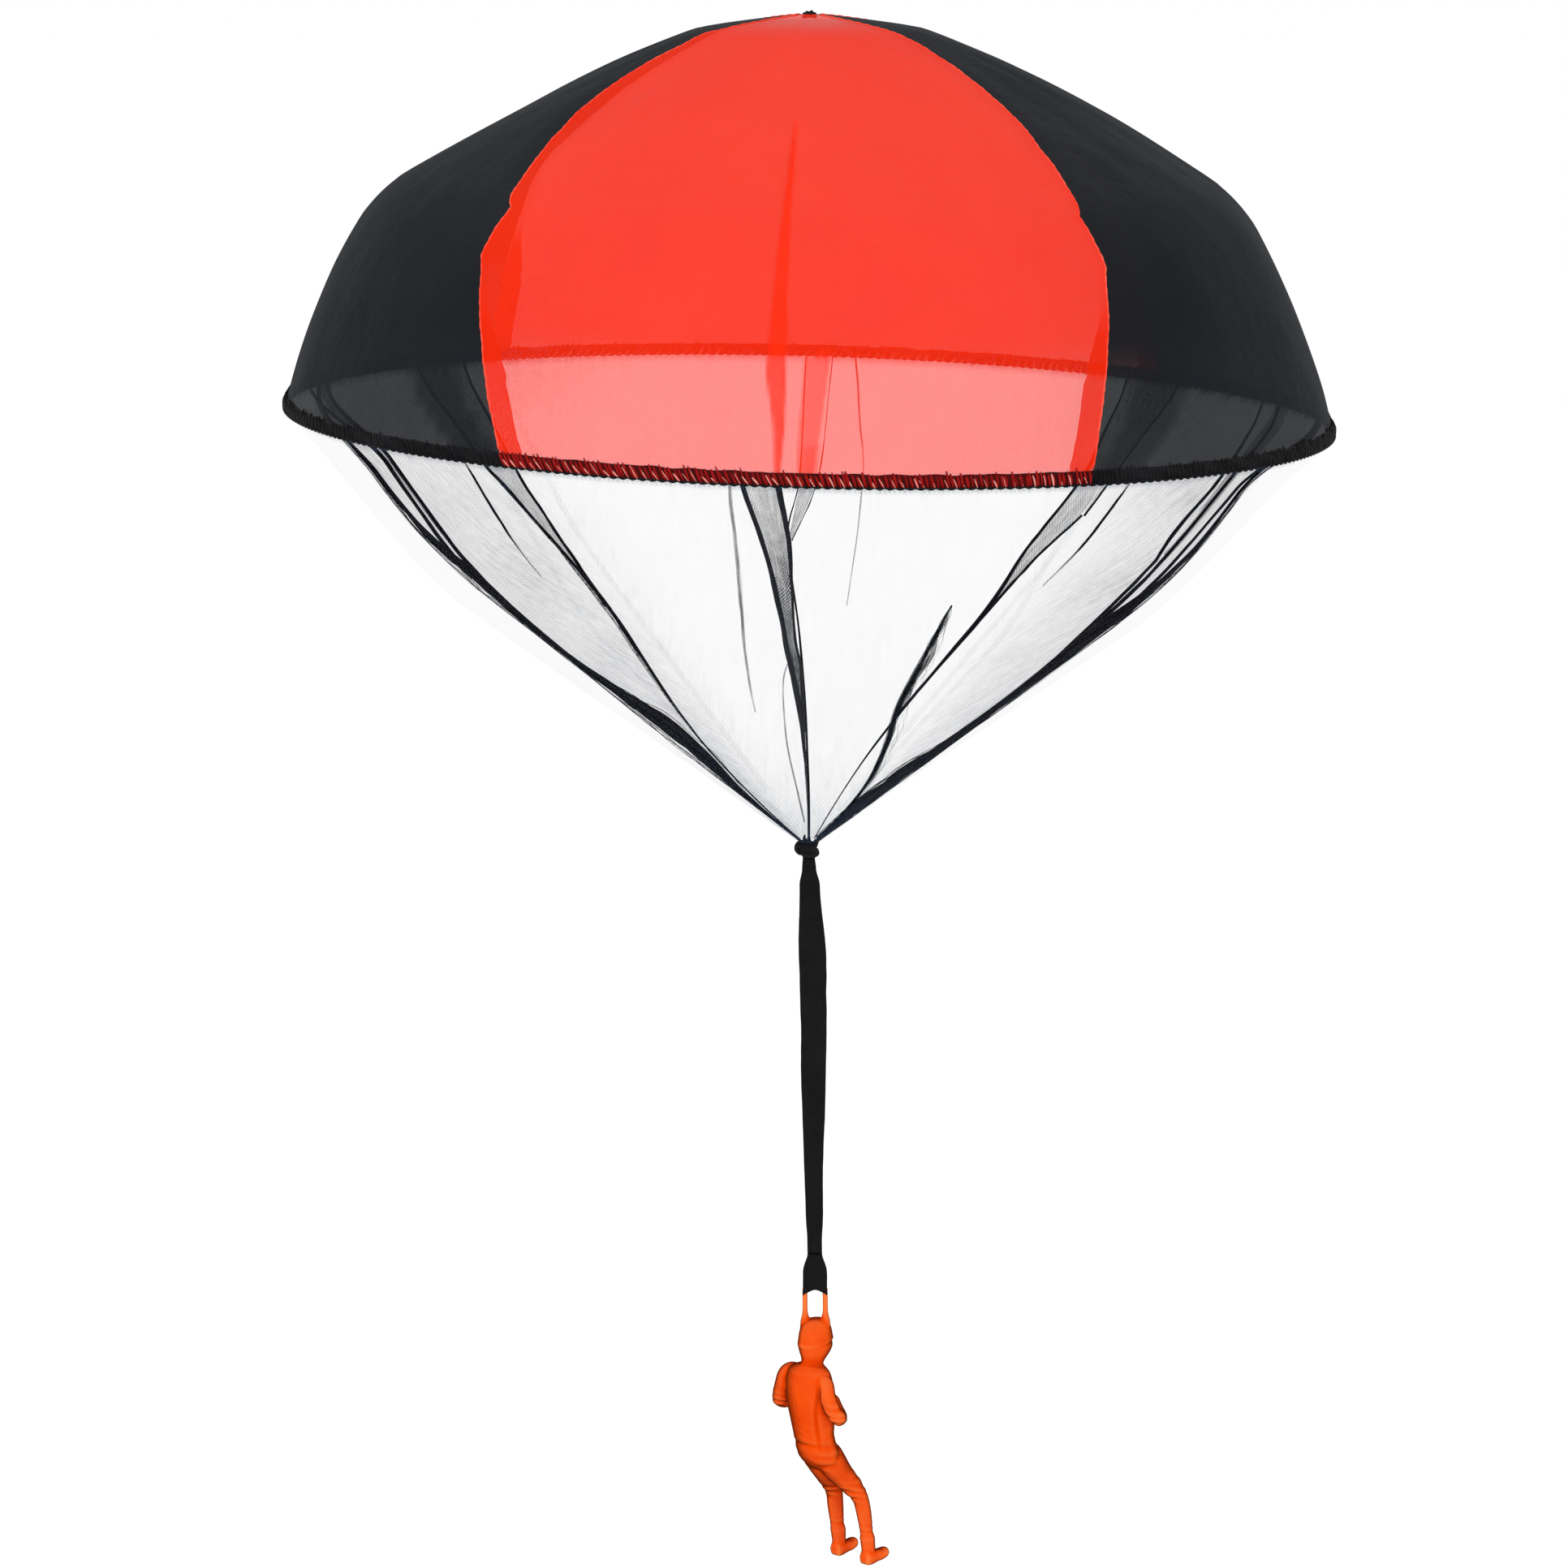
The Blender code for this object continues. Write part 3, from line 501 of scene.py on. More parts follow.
@dataclass(frozen=True)
class StrandFinish:
    """Solid textile: sewing thread or ribbon, with its fibres and a low sheen.

    Attributes:
        slot: The record's slot.
        colour: Linear colour of the fibres.
        wear_and_crown_highlight: Linear colour where they are rubbed.
        threads: Threads to the metre.
        sheen: Weight of the sheen.
        roughness: Roughness of the fibres.
        relief: Height of the fibres.
    """

    slot: Slot
    colour: Colour
    wear_and_crown_highlight: Colour
    threads: float
    sheen: float
    roughness: float
    relief: float

    def build(self, name: str, effects: Effects) -> bpy.types.Material:
        """Makes the material.

        Args:
            name: Its name.
            effects: The shared groups.

        Returns:
            The material, which reads the piece's own map in metres.
        """
        make = Shading(name)
        height = make.group(effects.weave, Place=make.cloth(), Threads=self.threads).outputs["Height"]
        uneven = make.group(effects.mottle, Place=make.solid, Size=60.0)
        rub = make.maths("MULTIPLY_ADD", uneven.outputs["Slow"], 1.5, -0.45)
        rub = make.maths("ADD", rub, make.maths("MULTIPLY_ADD", uneven.outputs["Fine"], 0.8, -0.4), clamp=True)
        fibres = make.relief(height, 0.7, self.relief)
        return make.shade(
            Base_Color=make.mix(rub, self.colour, self.wear_and_crown_highlight),
            Roughness=make.maths("MULTIPLY_ADD", height, -0.15, self.roughness + 0.08),
            Sheen_Weight=self.sheen,
            Sheen_Roughness=0.4,
            Specular_IOR_Level=0.08,
            Normal=make.relief(uneven.outputs["Fine"], 0.4, self.relief * 3, fibres),
        )


@dataclass(frozen=True)
class PlasticFinish:
    """Moulded plastic, a little clear in its skin, with the fine grain of its mould and a parting line, painted shade
    in its hollows, painted highlights on its edges and a painted dark rim where its skin turns away from view.

    Attributes:
        slot: The record's slot.
        colour: Linear colour.
        deep: Linear colour where it is thick.
        hollow: Linear colour of the painted shade in its hollows.
        edge: Linear colour of the painted highlight on its edges.
        rim: Linear colour of the painted dark rim where its skin turns away from view.
        parting: A point on the mould's parting plane.
        across: The direction square to that plane.
        ridge: Half the width of the parting line.
    """

    slot: Slot
    colour: Colour
    deep: Colour
    hollow: Colour
    edge: Colour
    rim: Colour
    parting: Place
    across: Place
    ridge: float = 0.00018

    def build(self, name: str, effects: Effects) -> bpy.types.Material:
        """Makes the material.

        Args:
            name: Its name.
            effects: The shared groups.

        Returns:
            The material.
        """
        make = Shading(name)
        uneven = make.group(effects.mottle, Place=make.solid, Size=120.0)
        grain = make.group(effects.mottle, Place=make.solid, Size=900.0)
        thick = make.maths("MULTIPLY_ADD", uneven.outputs["Slow"], 1.8, -0.5, clamp=True)
        tone = make.mix(thick, self.colour, self.deep)
        # Painted shade and highlight: the kept hollow measure darkens the colour towards hollow where the skin is
        # concave and lightens it towards edge where it is convex.
        hollow = make.kept("hollow")
        for sign, colour in ((1.0, self.hollow), (-1.0, self.edge)):
            tone = make.mix(make.maths("MULTIPLY", hollow, sign, clamp=True), tone, colour)
        # Painted shade at the outline: Layer Weight's facing darkens the colour towards rim where the skin turns away
        # from view.
        facing = make.fill(make.add("ShaderNodeLayerWeight"), Blend=0.5).outputs["Facing"]
        turned = make.maths("MULTIPLY_ADD", facing, 2.6, -0.84, clamp=True)
        away = make.add("ShaderNodeVectorMath", operation="SUBTRACT")
        make.join(make.solid, away.inputs[0])
        make.join(self.parting, away.inputs[1])
        dot = make.add("ShaderNodeVectorMath", operation="DOT_PRODUCT")
        make.join(away.outputs[0], dot.inputs[0])
        make.join(self.across, dot.inputs[1])
        near = make.maths("DIVIDE", make.maths("ABSOLUTE", dot.outputs["Value"]), self.ridge)
        ridge = make.maths("SUBTRACT", 1.0, near, clamp=True)
        return make.shade(
            Base_Color=make.mix(make.maths("MULTIPLY", turned, 0.95), tone, self.rim),
            Roughness=make.maths("MULTIPLY_ADD", uneven.outputs["Fine"], 0.18, 0.34),
            Specular_IOR_Level=0.0,
            Normal=make.relief(make.maths("MULTIPLY_ADD", grain.outputs["Slow"], 0.35, ridge), 0.5, 0.00012),
        )


class Finishes:
    """Every finish of the toy, by its slot."""

    def __init__(self, parting: Vector, across: Vector) -> None:
        """Builds the materials.

        Args:
            parting: A point on the figure's parting plane.
            across: The direction square to that plane.
        """
        effects = Effects()
        red, deep_red, glow = (1.0, 0.030, 0.003), (0.92, 0.018, 0.001), (1.0, 0.6, 0.5)
        black, wear_and_crown_highlight = (0.004, 0.004, 0.005), (0.015, 0.014, 0.016)
        coal, coal_shade, cool = (0.014, 0.016, 0.019), (0.006, 0.007, 0.009), (0.6, 0.7, 0.85)
        welt, hem, turn = (0.95, 0.060, 0.030), (0.035, 0.001, 0.001), (0.34, 0.007, 0.006)
        ribbon = (0.003, 0.003, 0.003)
        strands = {
            Look.WELT: (Slot.RED, welt, (1.0, 0.16, 0.10), 3000.0, 0.0, 0.7, 0.0001),
            Look.HEM_RED: (Slot.THREAD, hem, (0.12, 0.002, 0.002), 1400.0, 0.0, 0.7, 0.0002),
            Look.HEM_TURN: (Slot.THREAD, turn, (0.18, 0.003, 0.003), 3000.0, 0.0, 0.7, 0.0001),
            Look.HEM_BLACK: (Slot.THREAD, black, wear_and_crown_highlight, 1400.0, 0.02, 0.7, 0.0002),
            Look.STITCH: (Slot.THREAD, (0.90, 0.34, 0.28), (0.70, 0.10, 0.08), 5000.0, 0.1, 0.6, 0.0001),
            Look.THREAD: (Slot.THREAD, black, wear_and_crown_highlight, 4000.0, 0.02, 0.75, 0.0001),
            Look.RIBBON: (Slot.RIBBON, ribbon, (0.009, 0.009, 0.009), 2600.0, 0.02, 0.6, 0.00012),
        }
        specs = {look: StrandFinish(*values) for look, values in strands.items()}
        specs |= {
            Look.RED: ClothFinish(Slot.RED, red, deep_red, 0.76, 0.02, glow),
            Look.ALLOWANCE: ClothFinish(Slot.RED, red, deep_red, 0.88, 0.02, glow),
            Look.BLACK: ClothFinish(Slot.BLACK, coal, coal_shade, 0.962, 0.012, cool),
            # The open net's blue tint is a painted cool sheen on its black threads.
            Look.NET: NetFinish(Slot.NET, (0.028, 0.066, 0.130), 900.0, 0.07, 0.14),
            Look.FOLDED: NetFinish(Slot.NET, (0.012, 0.014, 0.018), 1500.0, 0.08, 0.4, 1.1),
            Look.GATHERED: NetFinish(Slot.NET, (0.004, 0.004, 0.006), 900.0, 0.10, 0.3),
            Look.PLASTIC: PlasticFinish(
                Slot.PLASTIC,
                colour=(1.0, 0.086, 0.003),
                deep=(0.86, 0.044, 0.001),
                # Painted shade in the hollows and painted highlight on the edges.
                hollow=(0.36, 0.012, 0.001),
                edge=(1.0, 0.26, 0.06),
                # Painted dark rim where the skin turns away from view.
                rim=(0.14, 0.016, 0.002),
                parting=tuple(parting),
                across=tuple(across),
            ),
        }
        self.made = {look: spec.build(look.value, effects) for look, spec in specs.items()}
        self.slots = {look: spec.slot for look, spec in specs.items()}

    def dress(self, piece: Piece, look: Look) -> None:
        """Gives a piece its finish."""
        piece.data.materials.clear()
        piece.data.materials.append(self.made[look])


@dataclass(frozen=True)
class Stretch:
    """A stretch of cloth down from the apex or the rim.

    Attributes:
        length: Its length.
        above: Its slope at its upper end, in degrees.
        below: Its slope at its lower end.
        rows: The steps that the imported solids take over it.
    """

    length: float
    above: float
    below: float
    rows: int


@dataclass
class ParachuteForm:
    """The surfaces that the canopy and the net follow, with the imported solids' own sizes."""

    canopy: tuple[Stretch, ...] = (
        Stretch(0.0356, 5, 10, 3),
        Stretch(0.0080, 10, 21, 1),
        Stretch(0.1047, 21, 33, 4),
        Stretch(0.0260, 33, 59, 4),
        Stretch(0.0705, 59, 77, 4),
    )
    net: tuple[Stretch, ...] = (
        Stretch(0.0140, 66, 49, 2),
        Stretch(0.0460, 50, 47.5, 3),
        Stretch(0.0300, 47, 36, 2),
    )
    net_fall: float = 36.0
    net_fall_rows: int = 6
    net_end: float = 0.0040
    turn: float = -2.5
    left_seam: Place = (60, 41.4, 30.6)
    right_seam: Place = (53, 40.7, 32)
    back_seam: Place = (133, 136, 137)
    bend_start: int = 4
    bend_rows: int = 5
    rim_lean: float = 1.56
    net_inset: float = 0.0010

    def __post_init__(self) -> None:
        """Walks both lines from their stretches."""
        self.canopy_line = self._walk(Vector((0.0, 0.0)), self.canopy, 1)
        self.rim = self.canopy_line[-1]
        top = Vector((self.rim.x - self.net_inset, self.rim.y))
        upper = self._walk(top, self.net, -1)
        run = (upper[-1].x - self.net_end) / math.cos(math.radians(self.net_fall))
        fall = Stretch(run, self.net_fall, self.net_fall, self.net_fall_rows)
        self.net_stretches = (*self.net, fall)
        self.net_line = self._walk(top, self.net_stretches, -1)
        self.canopy_length = sum(part.length for part in self.canopy)
        self.net_length = sum(part.length for part in self.net_stretches)
        self.shoulder = (self.canopy_length - self.canopy[-1].length) / self.canopy_length

    @staticmethod
    def _walk(start: Vector, stretches: Sequence[Stretch], outward: int) -> list[Vector]:
        """Walks down a line of cloth.

        Args:
            start: Its first point, as radius and height.
            stretches: The stretches, in order.
            outward: 1 where it runs outwards and -1 where it runs inwards.

        Returns:
            Its points, as radius and height.
        """
        line = [start]
        for part in stretches:
            for row in range(part.rows):
                slope = math.radians(blend(part.above, part.below, (row + 0.5) / part.rows))
                step = Vector((outward * math.cos(slope), -math.sin(slope))) * (part.length / part.rows)
                line.append(line[-1] + step)
        return line

    @staticmethod
    def _row(stretches: Sequence[Stretch], share: float) -> float:
        """Returns the row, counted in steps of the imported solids, at a share of a line's length."""
        left = share * sum(part.length for part in stretches)
        row = 0.0
        for part in stretches:
            if left <= part.length:
                return row + left / part.length * part.rows
            left -= part.length
            row += part.rows
        return row

    def seam(self, places: Place, share: float) -> float:
        """Returns a seam's azimuth at a share of the canopy's length, from its crown, shoulder and rim."""
        row = self._row(self.canopy, share)
        bend = len(self.canopy_line) - 1 - self.canopy[-1].rows
        if row < bend:
            return blend(places[0], places[1], ease((row - self.bend_start) / self.bend_rows))
        return blend(places[1], places[2], (row - bend) / self.canopy[-1].rows)

    def edges(self, side: Side, share: float) -> tuple[float, float]:
        """Returns the azimuths of a gore's two seams at a share of the canopy's length."""
        left = self.seam(self.left_seam, share)
        right = self.seam(self.right_seam, share)
        back = self.seam(self.back_seam, share)
        return {
            Side.FRONT: (-left, right),
            Side.RIGHT: (right, back),
            Side.BACK: (back, 360 - back),
            Side.LEFT: (360 - back, 360 - left),
        }[side]

    def _round(self, azimuth: float, radius: float, height: float) -> Vector:
        """Returns a point at an azimuth, with the tip of the rim to the right."""
        angle = math.radians(azimuth + self.turn)
        point = Vector((radius * math.sin(angle), -radius * math.cos(angle), height))
        end = self.net_line[-1].y
        if height > self.rim.y:
            share = height / self.rim.y
        else:
            share = (height - end) / (self.rim.y - end)
        point.z -= point.x * math.tan(math.radians(self.rim_lean)) * share
        return point

    def canopy_point(self, azimuth: float, share: float, outward: float = 0.0) -> Vector:
        """Finds a point on the canopy.

        Args:
            azimuth: Its azimuth before the canopy's turn.
            share: How far down from the apex, as a share of the cloth's length.
            outward: How far off the cloth's outer face.

        Returns:
            The point.
        """
        row = self._row(self.canopy, share)
        radius, height = through(self.canopy_line, row)
        slope = through(self.canopy_line, row + 0.05) - through(self.canopy_line, row - 0.05)
        off = Vector((-slope.y, slope.x)).normalized() * outward
        return self._round(azimuth, max(radius + off.x, 0.0), height + off.y)

    def canopy_radius(self, share: float) -> float:
        """Returns the canopy's radius at a share of its length from the apex."""
        return max(through(self.canopy_line, self._row(self.canopy, share)).x, 0.001)

    def net_radius(self, share: float) -> float:
        """Returns the net's radius at a share of its length from the rim."""
        return through(self.net_line, self._row(self.net_stretches, share)).x

    def net_point(self, azimuth: float, share: float, outward: float, inward: float) -> Vector:
        """Finds a point on the net.

        Args:
            azimuth: Its azimuth before the canopy's turn.
            share: How far down from the rim, as a share of the net's length.
            outward: How far off the net's outer face.
            inward: How much nearer to the axis than the round form.

        Returns:
            The point.
        """
        row = self._row(self.net_stretches, share)
        radius, height = through(self.net_line, row)
        slope = through(self.net_line, row + 0.05) - through(self.net_line, row - 0.05)
        off = Vector((-slope.y, slope.x)).normalized() * outward
        return self._round(azimuth, max(radius + off.x - inward, 0.0005), height + off.y)


class Former:
    """Lays grids, lofts and tubes into one shape."""

    def __init__(self) -> None:
        """Starts with an empty shape."""
        self.shape = bmesh.new()
        self.layers = self.shape.verts.layers.float.new("layers")
        self.cloth = self.shape.loops.layers.uv.new("cloth")

    def lay(
        self,
        columns: int,
        rows: int,
        place: Callable[[int, int], Vector],
        folded: Callable[[int, int], float] = lambda column, row: 0.0,
    ) -> dict[tuple[int, int], BMVert]:
        """Adds a grid and puts each of its points in place.

        Args:
            columns: Steps from left to right, as seen from outside.
            rows: Steps from top to bottom.
            place: Gives the point at a column and a row.
            folded: Gives how many more layers of cloth lie there.

        Returns:
            The points by column and row.
        """
        made = bmesh.ops.create_grid(self.shape, x_segments=columns, y_segments=rows, size=0.5)["verts"]
        spots = {}
        for vertex in made:
            spots[round((vertex.co.x + 0.5) * columns), round((0.5 - vertex.co.y) * rows)] = vertex
        for spot, vertex in spots.items():
            vertex.co = place(*spot)
            vertex[self.layers] = folded(*spot)
        self._map(spots, columns, rows)
        return spots

    def _map(self, spots: dict[tuple[int, int], BMVert], columns: int, rows: int) -> None:
        """Maps a grid by the lengths along its middle row and down its middle column."""
        across: dict[tuple[int, int], float] = {}
        middle = columns // 2
        for row in range(rows + 1):
            across[middle, row] = 0.0
            for way, end in ((1, columns + 1), (-1, -1)):
                for column in range(middle + way, end, way):
                    step = (spots[column, row].co - spots[column - way, row].co).length
                    across[column, row] = across[column - way, row] + way * step
        down = [0.0]
        for row in range(1, rows + 1):
            down.append(down[-1] + (spots[middle, row].co - spots[middle, row - 1].co).length)
        where = {vertex: spot for spot, vertex in spots.items()}
        for face in {face for vertex in spots.values() for face in vertex.link_faces}:
            for loop in face.loops:
                column, row = where[loop.vert]
                loop[self.cloth].uv = (across[column, row], -down[row])

    def loft(self, rings: Sequence[Sequence[Vector]], layers: Sequence[float] = ()) -> list[BMVert]:
        """Adds a closed body through rings of points, with filled ends.

        Args:
            rings: The rings, in order.
            layers: How closely folded the cloth is at each ring.

        Returns:
            Its points.
        """
        count, rows = len(rings[0]), len(rings) - 1
        deep = layers or [0.0] * len(rings)
        spots = self.lay(count, rows, lambda column, row: rings[row][column % count], lambda column, row: deep[row])
        bmesh.ops.weld_verts(self.shape, targetmap={spots[count, row]: spots[0, row] for row in range(len(rings))})
        held = [vertex for vertex in spots.values() if vertex.is_valid]
        edges = {edge for vertex in held for edge in vertex.link_edges if edge.is_boundary}
        bmesh.ops.holes_fill(self.shape, edges=list(edges), sides=0)
        faces = {face for vertex in held for face in vertex.link_faces}
        bmesh.ops.recalc_face_normals(self.shape, faces=list(faces))
        return held

    def tube(
        self,
        path: Sequence[Vector],
        radii: Sequence[float],
        sides: int,
        flat: float = 1.0,
        across: Optional[Vector] = None,
        layers: Sequence[float] = (),
    ) -> list[BMVert]:
        """Adds a tube by carrying a ring along a path.

        Args:
            path: Its middle line.
            radii: Its half width at each point.
            sides: Points round it.
            flat: Its depth as a share of its width.
            across: The direction of its width at the start.
            layers: How closely folded the cloth is at each point.

        Returns:
            Its points.
        """
        rings = []
        wide = across
        for index, (centre, radius) in enumerate(zip(path, radii)):
            along = (path[min(index + 1, len(path) - 1)] - path[max(index - 1, 0)]).normalized()
            if wide is None:
                wide = along.orthogonal()
            wide = (wide - along * wide.dot(along)).normalized()
            deep = along.cross(wide) * flat
            turns = [math.tau * column / sides for column in range(sides)]
            rings.append([centre + (wide * math.cos(turn) + deep * math.sin(turn)) * radius for turn in turns])
        return self.loft(rings, layers)


@dataclass
class Workshop:
    """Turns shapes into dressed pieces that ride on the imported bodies."""

    finishes: Finishes

    def piece(
        self,
        name: str,
        former: Former,
        look: Look,
        body: Optional[str],
        nodes: Sequence[str] = (),
        wall: float = 0.0,
    ) -> Piece:
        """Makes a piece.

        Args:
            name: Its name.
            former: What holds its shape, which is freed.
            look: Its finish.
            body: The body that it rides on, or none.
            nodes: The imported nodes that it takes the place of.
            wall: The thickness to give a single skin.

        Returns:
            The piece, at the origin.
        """
        mesh = bpy.data.meshes.new(name)
        former.shape.to_mesh(mesh)
        former.shape.free()
        mesh.shade_smooth()
        made = placed(name, mesh)
        self.finishes.dress(made, look)
        if wall:
            thick = made.modifiers.new("wall", "SOLIDIFY")
            thick.thickness = wall
            thick.offset = 0
        if body:
            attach(made, body)
        if nodes:
            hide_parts(*nodes)
        LOG.info("%s: %d faces, finish %s", name, len(mesh.polygons), look.value)
        return made

    @staticmethod
    def area(piece: Piece) -> float:
        """Returns the area of one skin of a piece."""
        return sum(face.area for face in piece.data.polygons)


@dataclass
class Canopy:
    """Four gores with puckered seams, their turned-in allowances, and the thread at the apex."""

    form: ParachuteForm
    shop: Workshop
    columns: int = 72
    rows: int = 96
    start: float = 0.0085
    pucker: float = 0.0006
    pucker_reach: float = 0.009
    pucker_pitch: float = 0.0095
    billow: float = 0.0013
    allowance: float = 0.0085
    crease_start: float = 0.37
    creases: tuple[tuple[Table, Table, float], ...] = (
        (
            ((0.37, -0.3), (0.80, -0.4), (0.92, -0.4), (1.0, -0.9)),
            (
                (0.37, 0.0), (0.45, 0.0008), (0.62, 0.0022), (0.76, 0.0042), (0.85, 0.0058), (0.93, 0.0028),
                (1.0, 0.0007),
            ),
            1.15,
        ),
        (
            ((0.78, 4.5), (0.84, 4.3), (1.0, 2.4)),
            ((0.78, 0.0), (0.815, 0.0), (0.835, 0.0076), (0.93, 0.0064), (1.0, 0.0046)),
            0.55,
        ),
    )
    shade: float = 0.42
    shade_near: Table = ((0.80, 5.5), (0.92, 3.6), (0.99, 0.3))
    shade_far: Table = ((0.80, 14.0), (0.92, 10.6), (0.99, 5.6))
    shade_edge: float = 1.2
    fine: int = 3
    lined: float = 0.30
    # How much thinner the red cloth is made at the crown: a painted highlight.
    wear_and_crown_highlight: float = 0.55

    def relief(self, side: Side, azimuth: float, share: float) -> float:
        """Finds how far the cloth stands off its smooth surface.

        Args:
            side: The gore.
            azimuth: Azimuth before the canopy's turn.
            share: Share of the canopy's length from the apex.

        Returns:
            The distance outwards: drawn in along the seams, slack between them.
        """
        first, last = self.form.edges(side, share)
        down = share * self.form.canopy_length
        near = min(azimuth - first, last - azimuth) * math.radians(self.form.canopy_radius(share))
        drawn = bump(near, self.pucker_reach)
        seam = first if azimuth - first < last - azimuth else last
        folded = (seam + 180) % 360 - 180
        which = (1.7 if folded > 0 else 0.0) + (3.4 if abs(folded) > 90 else 0.0)
        beat = waver(down / self.pucker_pitch, which, 0.0)
        slack = waver(azimuth * 0.055, down * 14.0, 3.1) * self.billow
        slack += waver(azimuth * 0.16, down * 34.0, 9.4) * self.billow * 0.35
        out = slack * ease(share * 3) * (1 - drawn) - self.pucker * drawn * (0.55 + 0.9 * beat)
        return out * ease(share * 4) * ease((1 - share) * 14)

    def crease(self, side: Side, azimuth: float, share: float) -> float:
        """Returns how many layers the folds down the middle of the front gore add at a point."""
        if side is not Side.FRONT or share < self.crease_start:
            return 0.0
        total = 0.0
        for edge, widths, strength in self.creases:
            width = at(widths, share)
            if width <= 0.0:
                continue
            off = math.radians(azimuth - at(edge, share)) * self.form.canopy_radius(share)
            inside = ease((off + width) / 0.0011 + 0.5) * ease(-off / 0.0009 + 0.5)
            total += strength * (inside + 0.35 * bump(off, 0.0008)) * ease(width / 0.0010)
        return total

    def depth(self, side: Side, azimuth: float, share: float) -> float:
        """Finds how much closer the cloth lies above the shoulder, and how much thinner the red cloth is made at the
        crown, which paints a pale highlight there.

        Args:
            side: The gore.
            azimuth: Azimuth before the canopy's turn.
            share: Share of the canopy's length from the apex.

        Returns:
            The layers to add. A black gore has a shade slanting away from its front seam below the shoulder.
        """
        above = 1 - ease((share - 0.80) / 0.05)
        if side.red:
            lined = self.lined if side is Side.BACK else self.lined * above
            # Painted highlight: near the apex the red cloth is made thinner than one layer, so it shows paler at the
            # crown.
            return lined - (self.lined + self.wear_and_crown_highlight) * bump(share - 0.075, 0.075)
        first, last = self.form.edges(side, share)
        away = last - azimuth if side is Side.LEFT else azimuth - first
        near, far = at(self.shade_near, share), at(self.shade_far, share)
        inside = ease((away - near) / self.shade_edge + 0.5) * ease((far - away) / self.shade_edge + 0.5)
        return 0.9 * above + self.shade * inside * (1 - above) * (1.0 if side is Side.LEFT else 0.7)

    def point(self, side: Side, across: float, share: float, outward: float = 0.0) -> Vector:
        """Returns a point of a gore's cloth, from 0 to 1 across it and down it."""
        first, last = self.form.edges(side, share)
        azimuth = blend(first, last, across)
        return self.form.canopy_point(azimuth, share, self.relief(side, azimuth, share) + outward)

    def gore(self, side: Side) -> Piece:
        """Makes one gore, which takes the place of its packed panel.

        Args:
            side: Which one.

        Returns:
            The piece.
        """
        former = Former()
        columns = self.columns * (self.fine if side is Side.FRONT else 1)

        def spot(column: int, row: int) -> tuple[float, float]:
            """Returns an azimuth and a share of the cloth's length."""
            share = blend(self.start, 1.0, row / self.rows)
            return blend(*self.form.edges(side, share), column / columns), share

        def place(column: int, row: int) -> Vector:
            """Returns a point of the cloth, drawn in where it is folded."""
            azimuth, share = spot(column, row)
            return self.point(side, column / columns, share, -0.0008 * self.crease(side, azimuth, share))

        def folded(column: int, row: int) -> float:
            """Returns the layers that folds and lining add."""
            return self.crease(side, *spot(column, row)) + self.depth(side, *spot(column, row))

        former.lay(columns, self.rows, place, folded)
        look = Look.RED if side.red else Look.BLACK
        return self.shop.piece(f"gore_{side.value}", former, look, "canopy", [f"canopy_panel_{side.value}"])

    def seam(self, side: Side, at_last: bool, other: Side) -> Piece:
        """Makes the turned-in allowance of a seam, under the edge of a red gore.

        Args:
            side: The red gore.
            at_last: Whether it lies along the gore's last edge.
            other: The black gore beyond it.

        Returns:
            The piece.
        """
        former = Former()
        rows, columns = 90, 6
        shares = [blend(0.06, 0.9815, row / rows) for row in range(rows + 1)]

        def place(column: int, row: int) -> Vector:
            """Returns a point of the band: a soft roll under the gore, uneven along its free edge."""
            share = shares[row]
            first, last = self.form.edges(side, share)
            ragged = 1 + 0.12 * waver(share * 60, 4.0 if at_last else 8.0, 2.0)
            ragged *= blend(0.30, 1.0, ease((share - 0.76) / 0.12))
            width = math.degrees(self.allowance * ragged / self.form.canopy_radius(share)) / (last - first)
            across = width * column / columns
            under = -0.0006 - 0.0005 * math.sin(math.pi * column / columns)
            return self.point(side, 1 - width + across if at_last else across, share, under)

        former.lay(columns, rows, place, lambda column, row: -0.92 * (1 - ease((shares[row] - 0.76) / 0.06)))
        name = f"canopy_seam_{side.value}_{other.value}"
        return self.shop.piece(f"allowance_{side.value}_{other.value}", former, Look.ALLOWANCE, "canopy", [name])

    def welt(self, side: Side, at_last: bool) -> Piece:
        """Makes the fine raised roll where a red gore is sewn to a black one.

        Args:
            side: The red gore.
            at_last: Whether it lies along the gore's last edge.

        Returns:
            The piece.
        """
        steps = 170
        path, radii = [], []
        for step in range(steps + 1):
            share = blend(0.02, 0.978, step / steps)
            azimuth = self.form.edges(side, share)[1 if at_last else 0]
            path.append(self.form.canopy_point(azimuth, share, self.relief(side, azimuth, share)))
            radii.append(0.00030 * (1 + 0.35 * math.sin(step * 2.2)))
        former = Former()
        former.tube(path, radii, 6)
        return self.shop.piece(f"welt_{side.value}_{'last' if at_last else 'first'}", former, Look.WELT, "canopy")

